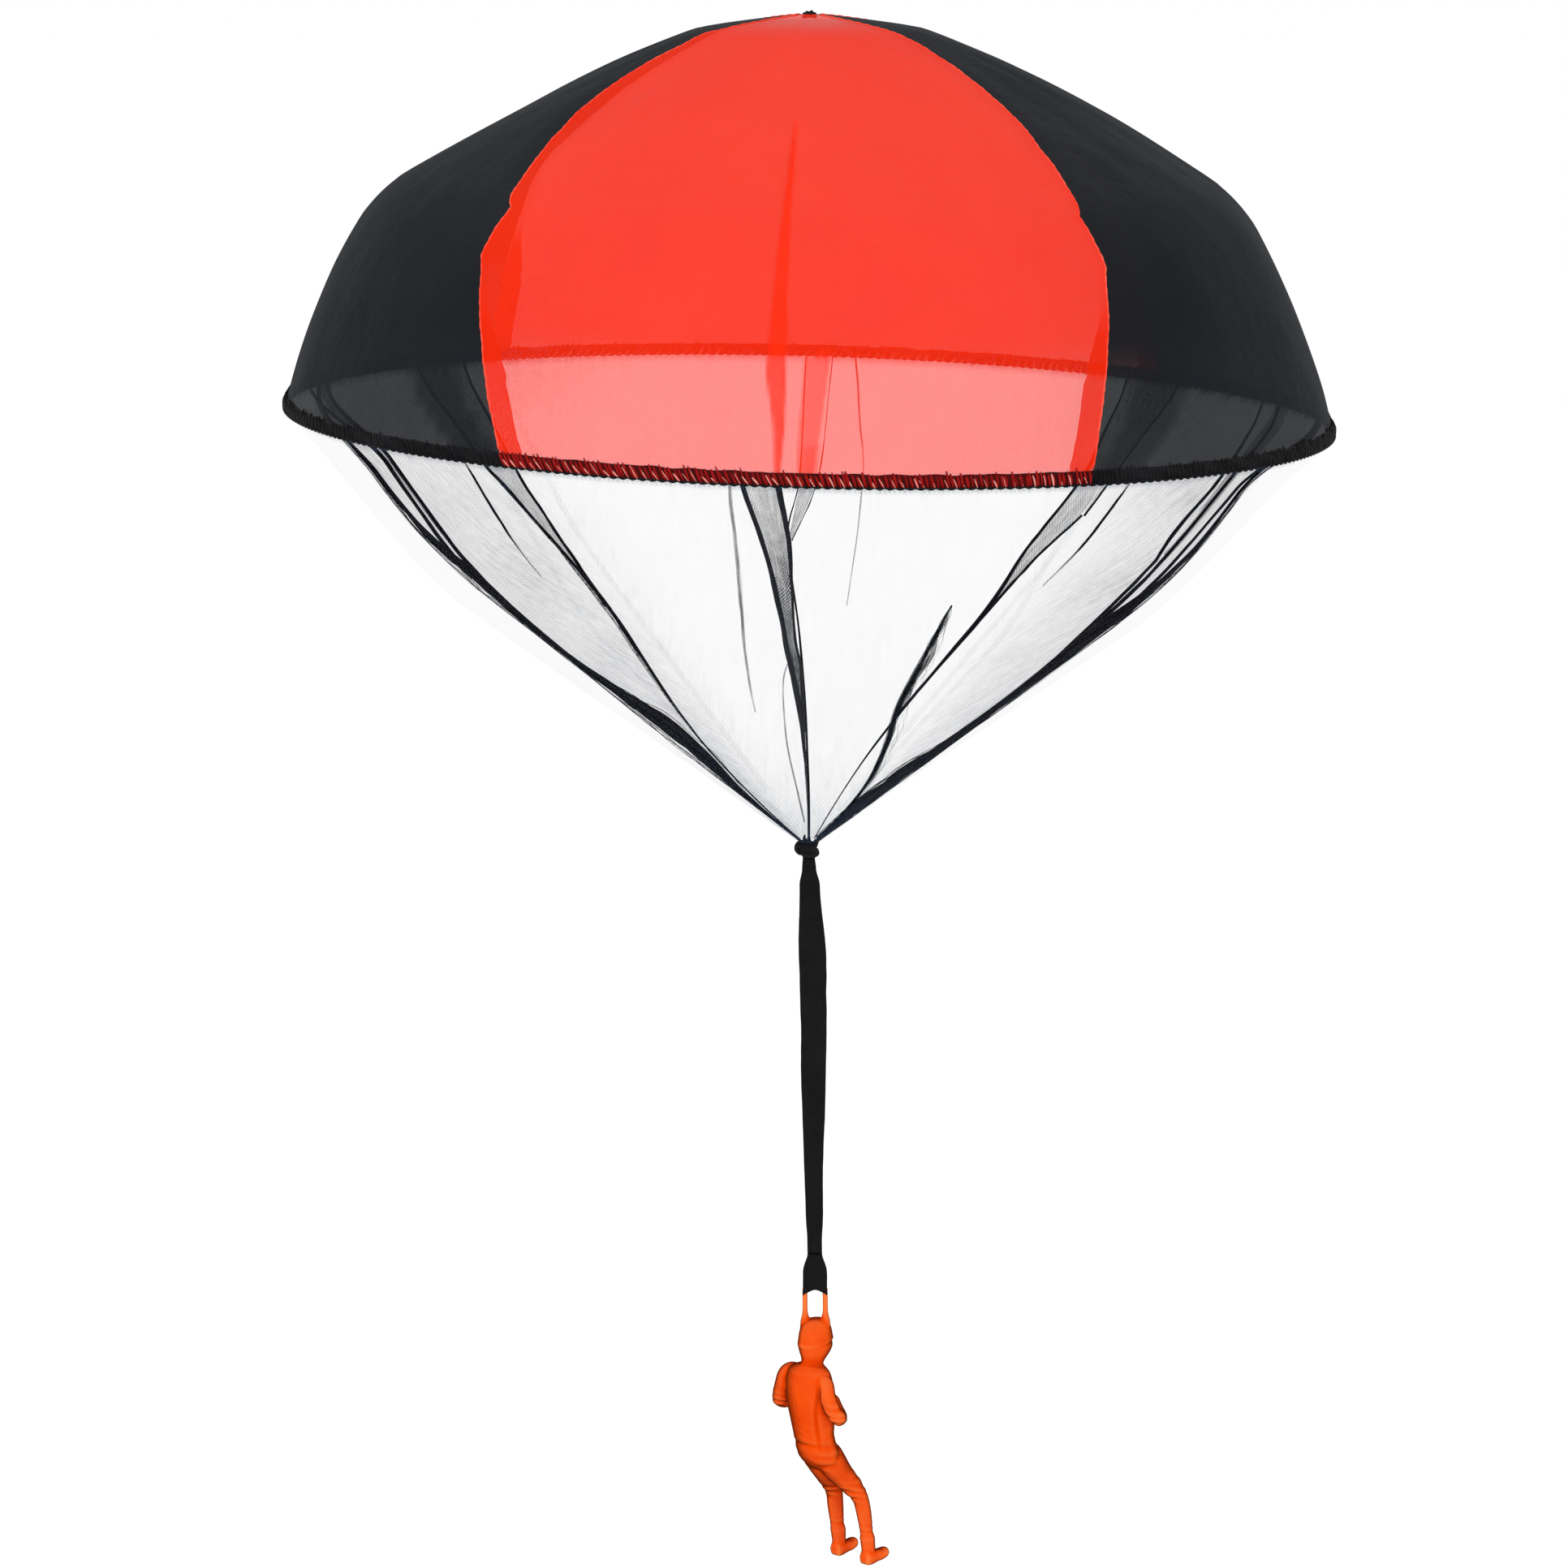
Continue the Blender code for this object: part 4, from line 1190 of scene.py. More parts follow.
    def apex(self) -> Piece:
        """Makes the thread that ties the four points: wraps round a short neck, with two cut ends."""
        former = Former()
        for height, radius in ((-0.0002, 0.0020), (0.0002, 0.0011), (-0.0011, 0.0022)):
            path = []
            for step in range(38):
                turn = math.tau * step / 36
                lift = height + 0.0002 * math.sin(3 * turn)
                path.append(Vector((radius * math.cos(turn), radius * math.sin(turn), lift)))
            former.tube(path, [0.00038] * len(path), 8)
        for lean_x, lean_y, tall in ((0.0010, 0.0002, 0.0010), (-0.0012, 0.0004, 0.0007)):
            path = [Vector((lean_x * step**2 / 9, lean_y * step**2 / 9, tall * step / 3)) for step in range(4)]
            former.tube(path, [0.0004, 0.00035, 0.0003, 0.0002], 8)
        core = [Vector((0.0, 0.0, height)) for height in (-0.0014, -0.0010, -0.0004, 0.0002, 0.0004)]
        former.tube(core, [0.0008, 0.0017, 0.0018, 0.0010, 0.0005], 16)
        return self.shop.piece("apex_thread", former, Look.THREAD, "canopy", ["apex_thread_knot"])

    def width(self, side: Side, share: float) -> float:
        """Returns a gore's width along the cloth at a share of the canopy's length."""
        first, last = self.form.edges(side, share)
        points = [self.form.canopy_point(blend(first, last, step / 12), share) for step in range(13)]
        return sum((after - before).length for before, after in zip(points, points[1:]))

    def build(self) -> None:
        apex = self.apex()
        for side in Side:
            gore = self.gore(side)
            extras = []
            if side.red:
                first, last = (Side.LEFT, Side.RIGHT) if side is Side.FRONT else (Side.RIGHT, Side.LEFT)
                extras = [self.seam(side, False, first), self.seam(side, True, last)]
                extras += [self.welt(side, False), self.welt(side, True)]
            flat = (max(self.width(side, share / 40) for share in range(1, 41)), self.form.canopy_length)
            area = min(self.shop.area(gore), flat[0] * flat[1])
            LOG.info("%s gore cut %.0f x %.0f mm, %.4f m2", side.value, flat[0] * 1000, flat[1] * 1000, area)


@dataclass
class Hem:
    """The overlocked band round the rim: a folded edge, its slanted stitches and the purl along its lip."""

    form: ParachuteForm
    canopy: Canopy
    shop: Workshop
    depth: float = 0.0045
    stand: float = 0.0007
    pitch: float = 0.0033
    stitch: float = 0.00023
    turn: float = 0.00042
    purl: float = 0.00040

    def point(self, side: Side, across: float, down: float, outward: float) -> Vector:
        """Returns a point of the band, from 0 to 1 across the gore and down the band."""
        ragged = 1 + 0.10 * waver(across * 31, len(side.value), 2.0) * (1 - down)
        deep = self.depth * (0.92 if side is Side.BACK else 1.0) * ragged
        share = 1 - deep / self.form.canopy_length * (1 - down)
        return self.canopy.point(side, across, share, outward)

    def band(self, side: Side) -> None:
        """Makes the folded edge of one gore, which takes the place of its packed hem.

        Args:
            side: The gore.
        """
        former = Former()
        columns, rows = 120, 8
        count = self.stitches(side)

        def place(column: int, row: int) -> Vector:
            """Returns a point of the band, drawn in a little under each stitch."""
            across = column / columns
            down = row / rows
            drawn = 0.00016 * math.sin(math.tau * (across * count + down * 0.9))
            rise = self.stand * math.sin(math.pi * blend(0.12, 0.95, down)) + drawn
            return self.point(side, across, down, 0.0001 + rise)

        former.lay(columns, rows, place)
        look = Look.HEM_RED if side.red else Look.HEM_BLACK
        self.shop.piece(f"hem_band_{side.value}", former, look, "canopy", [f"hem_{side.value}"])

    def stitches(self, side: Side) -> int:
        """Returns how many slanted stitches a gore's edge has."""
        return round(self.canopy.width(side, 1.0) / self.pitch)

    def thread(self, side: Side, inside: bool) -> None:
        """Makes the slanted stitches over the band.

        Args:
            side: The gore.
            inside: Whether these are the parts of the stitches that lie inside the canopy.
        """
        former = Former()
        count = self.stitches(side)
        for stitch in range(count):
            jog, tall, thick = (waver(stitch * 3.7, 5.0 + 9 * own, 0.5) for own in range(3))
            top, foot = 0.34 + 0.40 * tall, 0.96 + 0.12 * jog
            path = []
            for step in range(5):
                across = (stitch + 0.25 + 0.55 * step / 4 + 0.45 * jog) / count
                down = blend(top, foot, step / 4)
                rise = self.stand * math.sin(math.pi * blend(0.12, 0.95, down)) + 0.00024
                path.append(self.point(side, across, down, -rise - 0.0004 if inside else rise))
            size = self.stitch * (1 + 0.9 * thick) * (1.3 if inside else 1.0)
            former.tube(path, [size * 0.6, size, size * 1.2, size, size * 0.6], 5)
        name = "ties" if inside else "stitches"
        look = Look.STITCH if side.red else Look.THREAD
        self.shop.piece(f"hem_{name}_{side.value}", former, look, "canopy")

    def bars(self, side: Side, look: Look, inside: bool = False) -> None:
        """Makes the thicker turns of thread between the stitches, which stand out unevenly over the band.

        Args:
            side: The gore.
            look: Their finish.
            inside: Whether these are the parts of the turns that lie inside the canopy.
        """
        former = Former()
        count = round(self.stitches(side) * (1.25 if inside else 2.0))
        for turn in range(count):
            jog, tall, thick = (waver(turn * 2.9, 31.0 + 6 * own, 3.5) for own in range(3))
            top, foot = -0.02 + 0.35 * tall, 0.96 + 0.10 * jog
            path = []
            for step in range(5):
                across = (turn + 0.1 + 0.9 * step / 4 + 0.5 * jog) / count
                down = blend(top, foot, step / 4)
                rise = self.stand * math.sin(math.pi * blend(0.14, 0.93, min(max(down, 0.0), 1.0))) + 0.00012
                path.append(self.point(side, min(max(across, 0.0), 1.0), down, -rise if inside else rise))
            size = self.turn * (1 + 0.6 * thick) * (1.35 if inside else 1.0)
            former.tube(path, [size * 0.45, size, size * 1.1, size, size * 0.5], 5)
        name = "inner" if inside else "outer"
        self.shop.piece(f"hem_turns_{name}_{side.value}", former, look, "canopy")

    def lip(self, side: Side) -> None:
        """Makes the knotted purl along the lower lip of a gore."""
        former = Former()
        steps = self.stitches(side) * 6
        path, radii = [], []
        for step in range(steps + 1):
            beat = math.sin(math.tau * step / 6)
            path.append(self.point(side, step / steps, 0.985 + 0.03 * beat, 0.0003))
            radii.append(self.purl * (1 + 0.32 * beat))
        former.tube(path, radii, 6)
        self.shop.piece(f"hem_lip_{side.value}", former, Look.THREAD, "canopy")

    def build(self) -> None:
        """Makes the hem of each gore."""
        for side in Side:
            self.band(side)
            self.thread(side, False)
            self.thread(side, True)
            self.bars(side, Look.HEM_TURN if side.red else Look.THREAD)
            if side is Side.BACK:
                self.bars(side, Look.HEM_RED, True)
            self.lip(side)


@dataclass(frozen=True)
class Gather:
    """A rope of net that is drawn together along one line from the rim to the knot.

    Attributes:
        side: The panel that it belongs to.
        line: Places along it: thousandths of the net's length, azimuth in tenths of a degree, half width in
            hundredths of a millimetre and hundredths of a layer.
        flat: Its depth into the canopy as a share of its width.
    """

    side: Side
    line: Table
    flat: float = 1.0


@dataclass(frozen=True)
class Pleat:
    """A flat fold of net between two lines, where three layers lie on each other.

    Attributes:
        side: The panel that it belongs to.
        left: Its left line as seen from outside, as a share of the net's length and an azimuth.
        right: Its right line.
        layers: How closely it is folded at its start and its end.
    """

    side: Side
    left: Table
    right: Table
    layers: tuple[float, float]


@dataclass
class NetSkirt:
    """Four panels of net between the rim and the knot, flat between their folds, with the folds themselves."""

    form: ParachuteForm
    canopy: Canopy
    shop: Workshop
    edges: tuple[float, ...] = (-32, 0, 32, 67.5, 112.5, 137, 180, 223, 247.5, 292.5, 328)
    chord_start: float = 0.030
    columns: int = 120
    rows: int = 84
    tuck: float = 0.0042
    flutter: float = 0.0009
    seam_width: float = 0.0028
    thin: int = 30
    stout: int = 120
    finest: float = 0.00013
    gathers: tuple[Gather, ...] = (
        Gather(Side.FRONT, ((0, -46, 95, 220), (157, -26, 95, 240), (257, -17, 100, 260), (417, -7, 110, 260),
            (593, 5, 95, 160), (720, 9, 50, 50), (840, 12, 30, 12), (1000, 16, 27, 8)), 0.6),
        Gather(Side.FRONT, ((0, -9, 110, 100), (113, 0, 85, 110), (200, 1, 55, 90), (330, 3, 45, 100),
            (427, 9, 60, 140), (620, 10, 50, 140)), 0.6),
        Gather(Side.FRONT, ((0, -58, 65, 8), (120, -63, 75, 10), (247, -69, 75, 11), (400, -83, 60, 7),
            (563, -103, 45, 1))),
        Gather(Side.FRONT, ((400, -12, 30, 3), (477, -26, 34, 7), (707, -43, 36, 10), (930, -34, 38, 10))),
        Gather(Side.FRONT, ((250, 219, 30, 8), (300, 219, 130, 15), (400, 225, 230, 17), (567, 242, 230, 12),
            (700, 286, 180, 9), (850, 356, 120, 6), (980, 439, 60, 4)), 0.5),
        Gather(Side.LEFT, ((0, 2350, 70, 130), (165, 2341, 65, 140), (223, 2323, 70, 150), (308, 2301, 75, 150),
            (362, 2294, 90, 200), (481, 2296, 120, 260), (600, 2326, 100, 240), (723, 2376, 52, 120),
            (800, 2410, 30, 50), (1000, 2480, 27, 30)), 0.7),
        Gather(Side.LEFT, ((0, 2274, 65, 120), (200, 2282, 70, 140), (277, 2276, 75, 150), (373, 2277, 80, 160),
            (481, 2294, 90, 180)), 0.7),
        Gather(Side.LEFT, ((170, 2374, 30, 10), (220, 2377, 50, 90), (280, 2381, 50, 80), (330, 2386, 42, 20),
            (400, 2393, 35, 1))),
        Gather(Side.LEFT, ((0, 2578, 80, 180), (58, 2665, 85, 200), (117, 2752, 95, 220), (207, 2770, 125, 240),
            (280, 2752, 165, 260), (340, 2740, 200, 260), (400, 2732, 155, 240), (470, 2726, 110, 240),
            (560, 2722, 115, 260), (640, 2720, 200, 280), (720, 2718, 310, 300), (790, 2716, 270, 300),
            (870, 2714, 120, 220), (930, 2712, 55, 120), (1000, 2710, 30, 60))),
        Gather(Side.LEFT, ((0, 2610, 60, 120), (73, 2619, 75, 180), (227, 2664, 75, 180), (330, 2698, 82, 180),
            (480, 2718, 75, 160))),
        Gather(Side.LEFT, ((0, 2554, 60, 100), (62, 2579, 75, 160), (235, 2609, 75, 180), (350, 2655, 82, 180),
            (500, 2708, 75, 160))),
        Gather(Side.RIGHT, ((0, 975, 85, 180), (83, 946, 85, 200), (130, 900, 85, 200), (233, 852, 100, 240),
            (347, 842, 150, 280), (430, 828, 210, 320), (520, 816, 170, 320), (643, 798, 120, 300),
            (750, 780, 150, 300), (830, 768, 215, 340), (900, 758, 210, 360), (950, 753, 150, 360),
            (1000, 750, 90, 300))),
        Gather(Side.RIGHT, ((0, 995, 52, 100), (96, 973, 60, 140), (242, 965, 60, 160), (385, 910, 75, 180),
            (500, 840, 75, 160))),
        Gather(Side.RIGHT, ((0, 1129, 60, 120), (100, 1106, 65, 150), (273, 1080, 70, 180), (400, 1010, 70, 180),
            (550, 860, 70, 160))),
        Gather(Side.RIGHT, ((0, 1170, 45, 90), (135, 1140, 60, 140), (285, 1136, 68, 180), (408, 1060, 68, 160),
            (560, 880, 68, 160))),
        Gather(Side.BACK, ((0, 1414, 65, 120), (173, 1400, 65, 140), (300, 1417, 70, 150), (365, 1422, 80, 170),
            (527, 1413, 110, 240), (723, 1448, 68, 160), (860, 1480, 34, 60), (1000, 1500, 27, 40)), 0.7),
        Gather(Side.RIGHT, ((0, 1333, 45, 90), (185, 1355, 51, 120), (265, 1366, 54, 120)), 0.7),
        Gather(Side.BACK, ((265, 1371, 54, 120), (362, 1397, 60, 140), (523, 1412, 68, 160)), 0.7),
        Gather(Side.RIGHT, ((190, 1312, 30, 10), (240, 1316, 52, 90), (300, 1320, 52, 80), (350, 1326, 42, 20),
            (420, 1336, 35, 1))),
        Gather(Side.BACK, ((0, 1767, 45, 16), (120, 1754, 45, 14), (200, 1743, 38, 6), (330, 1740, 35, 4),
            (500, 1739, 30, 1))),
        Gather(Side.BACK, ((0, 1826, 22, 50), (229, 1837, 27, 70), (360, 1860, 33, 80), (600, 1845, 45, 90),
            (1000, 1820, 52, 100))),
        Gather(Side.BACK, ((0, 1794, 22, 50), (229, 1809, 27, 70), (360, 1852, 27, 60))),
    )
    pleats: tuple[Pleat, ...] = (
        Pleat(
            Side.FRONT, ((0, -4.4), (0.157, -2.5), (0.257, -1.6), (0.417, -0.7), (0.593, 0.5)),
            ((0, -0.9), (0.113, 0), (0.33, 0.3), (0.427, 0.9), (0.593, 1)), (0.18, 0.95),
        ),
        Pleat(
            Side.LEFT, ((0, 227.5), (0.2, 228.3), (0.277, 227.7), (0.373, 227.8), (0.481, 229.4)),
            ((0, 234.9), (0.165, 234), (0.223, 232.2), (0.362, 229.6), (0.481, 229.6)), (0.14, 0.32),
        ),
        Pleat(
            Side.LEFT, ((0, 254.2), (0.06, 256.8), (0.3, 261)),
            ((0, 257.2), (0.06, 260.6), (0.3, 264)), (0.3, 0.3),
        ),
        Pleat(
            Side.RIGHT, ((0, 133.4), (0.185, 135.6), (0.265, 136.8)),
            ((0, 136.9), (0.185, 136.9), (0.265, 136.9)), (0.14, 0.2),
        ),
        Pleat(
            Side.BACK, ((0, 137.1), (0.185, 137.1), (0.265, 137.3), (0.362, 139.8), (0.523, 141.2)),
            ((0, 141.3), (0.173, 139.9), (0.265, 141.2), (0.365, 142.1), (0.523, 141.4)), (0.14, 0.32),
        ),
        Pleat(
            Side.RIGHT, ((0, 110.2), (0.115, 107), (0.3, 105)),
            ((0, 113.6), (0.115, 113.4), (0.3, 112)), (0.3, 0.3),
        ),
        Pleat(
            Side.BACK, ((0.17, 180.6), (0.21, 181), (0.25, 181.4), (0.36, 185.2)),
            ((0.17, 183.2), (0.21, 183.5), (0.25, 183.8), (0.36, 185.9)), (0.1, 0.3),
        ),
    )
    veil: float = 0.21
    veil_reach: float = 64.0
    left_edge: Table = (
        (0.0, 258.0), (0.058, 266.5), (0.117, 275.0), (0.207, 277.0), (0.31, 274.6), (0.42, 273.0), (1.0, 271.0)
    )
    right_edge: Table = (
        (0.0, 97.5), (0.083, 94.6), (0.13, 90.0), (0.233, 85.2), (0.43, 82.8), (0.643, 79.8), (0.84, 76.6), (1.0, 75.0)
    )

    def span(self, side: Side) -> tuple[float, float]:
        """Returns the azimuths of a panel's two seams."""
        return {
            Side.FRONT: (-32.0, 32.0),
            Side.RIGHT: (32.0, 137.0),
            Side.BACK: (137.0, 223.0),
            Side.LEFT: (223.0, 328.0),
        }[side]

    def point(self, azimuth: float, share: float, outward: float = 0.0) -> Vector:
        """Finds a point of the net, which is drawn flat between its folds below the rim.

        Args:
            azimuth: Its azimuth before the canopy's turn.
            share: Share of the net's length from the rim.
            outward: How far off the net's outer face.

        Returns:
            The point.
        """
        turned = (azimuth + 32) % 360 - 32
        bay = max(index for index in range(len(self.edges) - 1) if self.edges[index] <= turned + 1e-6)
        middle = (self.edges[bay] + self.edges[bay + 1]) / 2
        half = (self.edges[bay + 1] - self.edges[bay]) / 2
        flat = math.cos(math.radians(half)) / math.cos(math.radians(turned - middle))
        drawn = ease(share * self.form.net_length / self.chord_start)
        inward = self.form.net_radius(share) * (1 - blend(1, flat, drawn))
        return self.form.net_point(azimuth, share, outward, inward)

    def relief(self, azimuth: float, share: float) -> float:
        """Returns how far the net stands off its drawn surface: a little flutter, and none at its edges."""
        wave = waver(azimuth * 0.09, share * 3.2, 5.0)
        wave += 0.4 * waver(azimuth * 0.3, share * 5.0, 1.0)
        return self.flutter * wave * ease(share * 8) * ease((1 - share) * 3)

    def shade(self, azimuth: float, share: float) -> float:
        """Returns how much closer the net lies behind the gathers at the sides, where it is drawn together."""
        total = 0.0
        for edge, back in ((at(self.left_edge, share), -1), (at(self.right_edge, share), 1)):
            behind = (azimuth - edge) * back
            if behind > -4:
                near = ease((self.veil_reach - behind) / 38) + 0.35 * max(1 - behind / 14, 0.0)
                total += ease((behind + 1.5) / 2.0) * near
        return self.veil * total * (1 + 0.35 * waver(azimuth * 0.05, share * 9.0, 4.0))

    def panel(self, side: Side) -> Piece:
        """Makes one panel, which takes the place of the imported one.

        Args:
            side: Which one.

        Returns:
            The piece.
        """
        former = Former()
        first, last = self.span(side)
        tucked = 3

        def place(column: int, row: int) -> Vector:
            """Returns a point of the panel: tucked in under the hem first, then down to the knot."""
            azimuth = blend(first, last, column / self.columns)
            if row < tucked:
                share = 1 - self.tuck / self.form.canopy_length * (1 - row / tucked)
                edges = self.form.edges(side, 1.0)
                across = (azimuth - edges[0]) / (edges[1] - edges[0])
                return self.canopy.point(side, across, share, -0.0010)
            share = (row - tucked) / (self.rows - tucked)
            return self.point(azimuth, share, self.relief(azimuth, share) - 0.0002)

        def folded(column: int, row: int) -> float:
            """Returns how closely the net lies: where it is sewn, drawn together and veiled."""
            share = max(row - tucked, 0) / (self.rows - tucked)
            sewn = 0.35 if row <= tucked else 0.0
            gathered = 0.008 * (1 / max(self.form.net_radius(share) / self.form.rim.x, 0.04) - 1)
            return sewn + min(gathered, 0.12) + self.shade(blend(first, last, column / self.columns), share)

        former.lay(self.columns, self.rows, place, folded)
        return self.shop.piece(f"net_{side.value}", former, Look.NET, "canopy", [f"net_panel_{side.value}"])

    def seam(self, side: Side, other: Side) -> Piece:
        """Makes the sewn line where two panels join.

        Args:
            side: The panel before it.
            other: The panel after it.

        Returns:
            The piece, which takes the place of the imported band.
        """
        former = Former()
        azimuth = self.span(side)[1]
        rows = 60

        def place(column: int, row: int) -> Vector:
            """Returns a point of the narrow band inside the panels' edges."""
            share = blend(0.004, 0.9, row / rows)
            off = math.degrees(self.seam_width * (column / 2 - 0.5) / self.form.net_radius(share))
            return self.point(azimuth + off, share, -0.0012)

        former.lay(2, rows, place, lambda column, row: 0.03)
        name = f"net_seam_{side.value}_{other.value}"
        return self.shop.piece(f"net_join_{side.value}_{other.value}", former, Look.NET, "canopy", [name])

    def rope(self, former: Former, gather: Gather) -> None:
        """Adds a gathered rope to a shape, as strands that wind about each other, with loose ones round the thick."""
        steps = 80
        places = [Vector((station[0] / THOUSAND, station[1] / 10)) for station in gather.line]
        sizes = [Vector((station[2] / HUNDREDTHS, station[3] / 100)) for station in gather.line]
        widest = max(station[2] for station in gather.line)
        strands = 1 if widest < self.thin else 3 if widest < self.stout else 15
        for strand in range(strands):
            loose = strands > 3 and strand > 6
            path, radii, layers = [], [], []
            for step in range(steps + 1):
                along = step / steps * (len(places) - 1)
                share, azimuth = through(places, along)
                half, folded = through(sizes, along)
                half = max(half, 0.00012)
                seed = Vector((step * 0.13, places[0].y + strand * 7.3, 1.0))
                thick = half * (0.8 if strands == 1 else 0.62 if strands == 3 else 0.40)
                thick = max(thick * (1 + 0.45 * noise.noise(seed)), self.finest)
                orbit = max(half - thick, 0.0) * (1 + 0.5 * noise.noise(seed + Vector((0.0, 0.0, 5.0))))
                if loose:
                    thick = self.finest * (1 + 0.4 * noise.noise(seed))
                    orbit = half * (1.15 + 0.75 * noise.noise(seed + Vector((0.0, 0.0, 5.0))))
                turn = math.tau * strand / strands + 2.2 * share + 1.6 * noise.noise(seed + Vector((0.0, 0.0, 9.0)))
                aside = math.degrees(orbit * math.cos(turn) / max(self.form.net_radius(share), 0.006))
                inward = half * gather.flat + orbit * gather.flat * math.sin(turn)
                path.append(self.point(azimuth + aside, min(max(share, 0.0), 1.0), -max(inward, 0.0) - 0.0004))
                radii.append(thick)
                layers.append(max(folded, 0.0) * (0.16 if loose else 1.0))
            angle = math.radians(places[0].y + self.form.turn)
            former.tube(path, radii, 6, max(gather.flat, 0.7), Vector((math.cos(angle), math.sin(angle), 0.0)), layers)

    def fold(self, former: Former, pleat: Pleat) -> None:
        """Adds a flat fold to a shape."""
        rows, columns = 48, 5
        left = [Vector(place) for place in pleat.left]
        right = [Vector(place) for place in pleat.right]

        def place(column: int, row: int) -> Vector:
            """Returns a point of the fold, just inside the net."""
            one = through(left, row / rows * (len(left) - 1))
            two = through(right, row / rows * (len(right) - 1))
            share, azimuth = one.lerp(two, column / columns)
            return self.point(azimuth, min(max(share, 0.0), 1.0), -0.0009)

        former.lay(columns, rows, place, lambda column, row: blend(*pleat.layers, row / rows))

    def build(self) -> None:
        sides = list(Side)
        joins = {side: self.seam(side, sides[(index + 1) % 4]) for index, side in enumerate(sides)}
        for side in sides:
            panel = self.panel(side)
            former = Former()
            for gather in self.gathers:
                if gather.side is side:
                    self.rope(former, gather)
            self.shop.piece(f"net_gathers_{side.value}", former, Look.GATHERED, "canopy")
            former = Former()
            for pleat in self.pleats:
                if pleat.side is side:
                    self.fold(former, pleat)
            self.shop.piece(f"net_pleats_{side.value}", former, Look.FOLDED, "canopy")
            width = math.radians(self.span(side)[1] - self.span(side)[0]) * self.form.rim.x
            flat = (width, self.form.net_length + self.tuck)
            area = max(min(self.shop.area(panel), flat[0] * flat[1]), flat[0] * flat[1] * 0.3)
            LOG.info("%s net cut %.0f x %.0f mm, %.4f m2", side.value, flat[0] * 1000, flat[1] * 1000, area)


@dataclass
class GatherKnot:
    """The knot that ties the gathered net to the strap: a lumpy core, its wraps, a small ear and a cut end.

    The tails of net at its top are a piece of their own, which stays with the net when the strap swings.
    """

    shop: Workshop
    centre: Place = (0.0, 0.0, -0.290722)
    core: float = 0.0029
    wrap: float = 0.00110
    mouth: float = 0.0036
    levels: tuple[float, ...] = (-1.0, -0.94, -0.75, -0.45, -0.1, 0.25, 0.58, 0.82, 0.95, 1.0)
    wraps: Table = ((16, 20, -0.3, 0.92), (-20, 80, 0.35, 0.9), (34, 140, 0.05, 0.98))
    ear: Table = (
        (-0.0018, -0.0012, 0.0012), (-0.0038, -0.0014, 0.0024), (-0.0044, -0.0014, 0.0006),
        (-0.0034, -0.0012, -0.0008), (-0.0016, -0.0010, -0.0014),
    )
    end: Table = ((-0.0010, -0.0010, 0.0028), (-0.0016, -0.0012, 0.0044), (-0.0014, -0.0012, 0.0056))
    tails: tuple[float, ...] = (0.0044, 0.0034, 0.0046, 0.0032, 0.0040, 0.0036, 0.0048, 0.0030)
    grain: float = 620.0

    def build(self) -> None:
        """Makes the knot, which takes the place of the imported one."""
        middle = Vector(self.centre)
        former = Former()
        path = [middle + Vector((0.0003 * math.sin(4 * high), 0.0, self.core * high)) for high in self.levels]
        radii = [max(self.core * math.sqrt(max(1 - high * high, 0.0)), 0.0003) for high in self.levels]
        former.tube(path, radii, 24)
        for tilt, turn, height, radius in self.wraps:
            spin = Matrix.Rotation(math.radians(turn), 3, "Z") @ Matrix.Rotation(math.radians(tilt), 3, "X")
            path = []
            for step in range(42):
                angle = math.tau * step / 40
                swell = self.core * radius * (1 + 0.06 * math.sin(3 * angle + turn))
                ring = Vector((swell * math.cos(angle), swell * math.sin(angle), self.core * height))
                path.append(middle + spin @ ring)
            radii = [self.wrap * (1 + 0.15 * math.sin(5 * index / 7 + tilt)) for index in range(len(path))]
            former.tube(path, radii, 10, 0.8)
        path = [middle + through([Vector(place) for place in self.ear], step / 4) for step in range(17)]
        former.tube(path, [0.0010] * 17, 8, 0.55)
        path = [middle + through([Vector(place) for place in self.end], step / 4) for step in range(9)]
        former.tube(path, [0.0011 - 0.0001 * step for step in range(9)], 8, 0.7)
        tufts = Former()
        for turn, high in enumerate(self.tails):
            angle = math.tau * turn / len(self.tails)
            out = Vector((math.cos(angle), 0.6 * math.sin(angle), 0.0))
            path = [middle + out * self.mouth + Vector((0.0, 0.0, high))]
            path += [middle + out * self.mouth * 0.75 + Vector((0.0, 0.0, high * 0.62))]
            path += [middle + out * self.mouth * 0.30 + Vector((0.0, 0.0, 0.0006))]
            tufts.tube(path, [0.00042, 0.0008, 0.0012], 8)
        for made in (former, tufts):
            for vertex in made.shape.verts:
                away = (vertex.co - middle).normalized()
                vertex.co += away * (0.00035 * noise.noise(vertex.co * self.grain))
        self.shop.piece("knot", former, Look.THREAD, "knot", ["gather_knot"])
        self.shop.piece("knot_tails", tufts, Look.THREAD, "canopy")


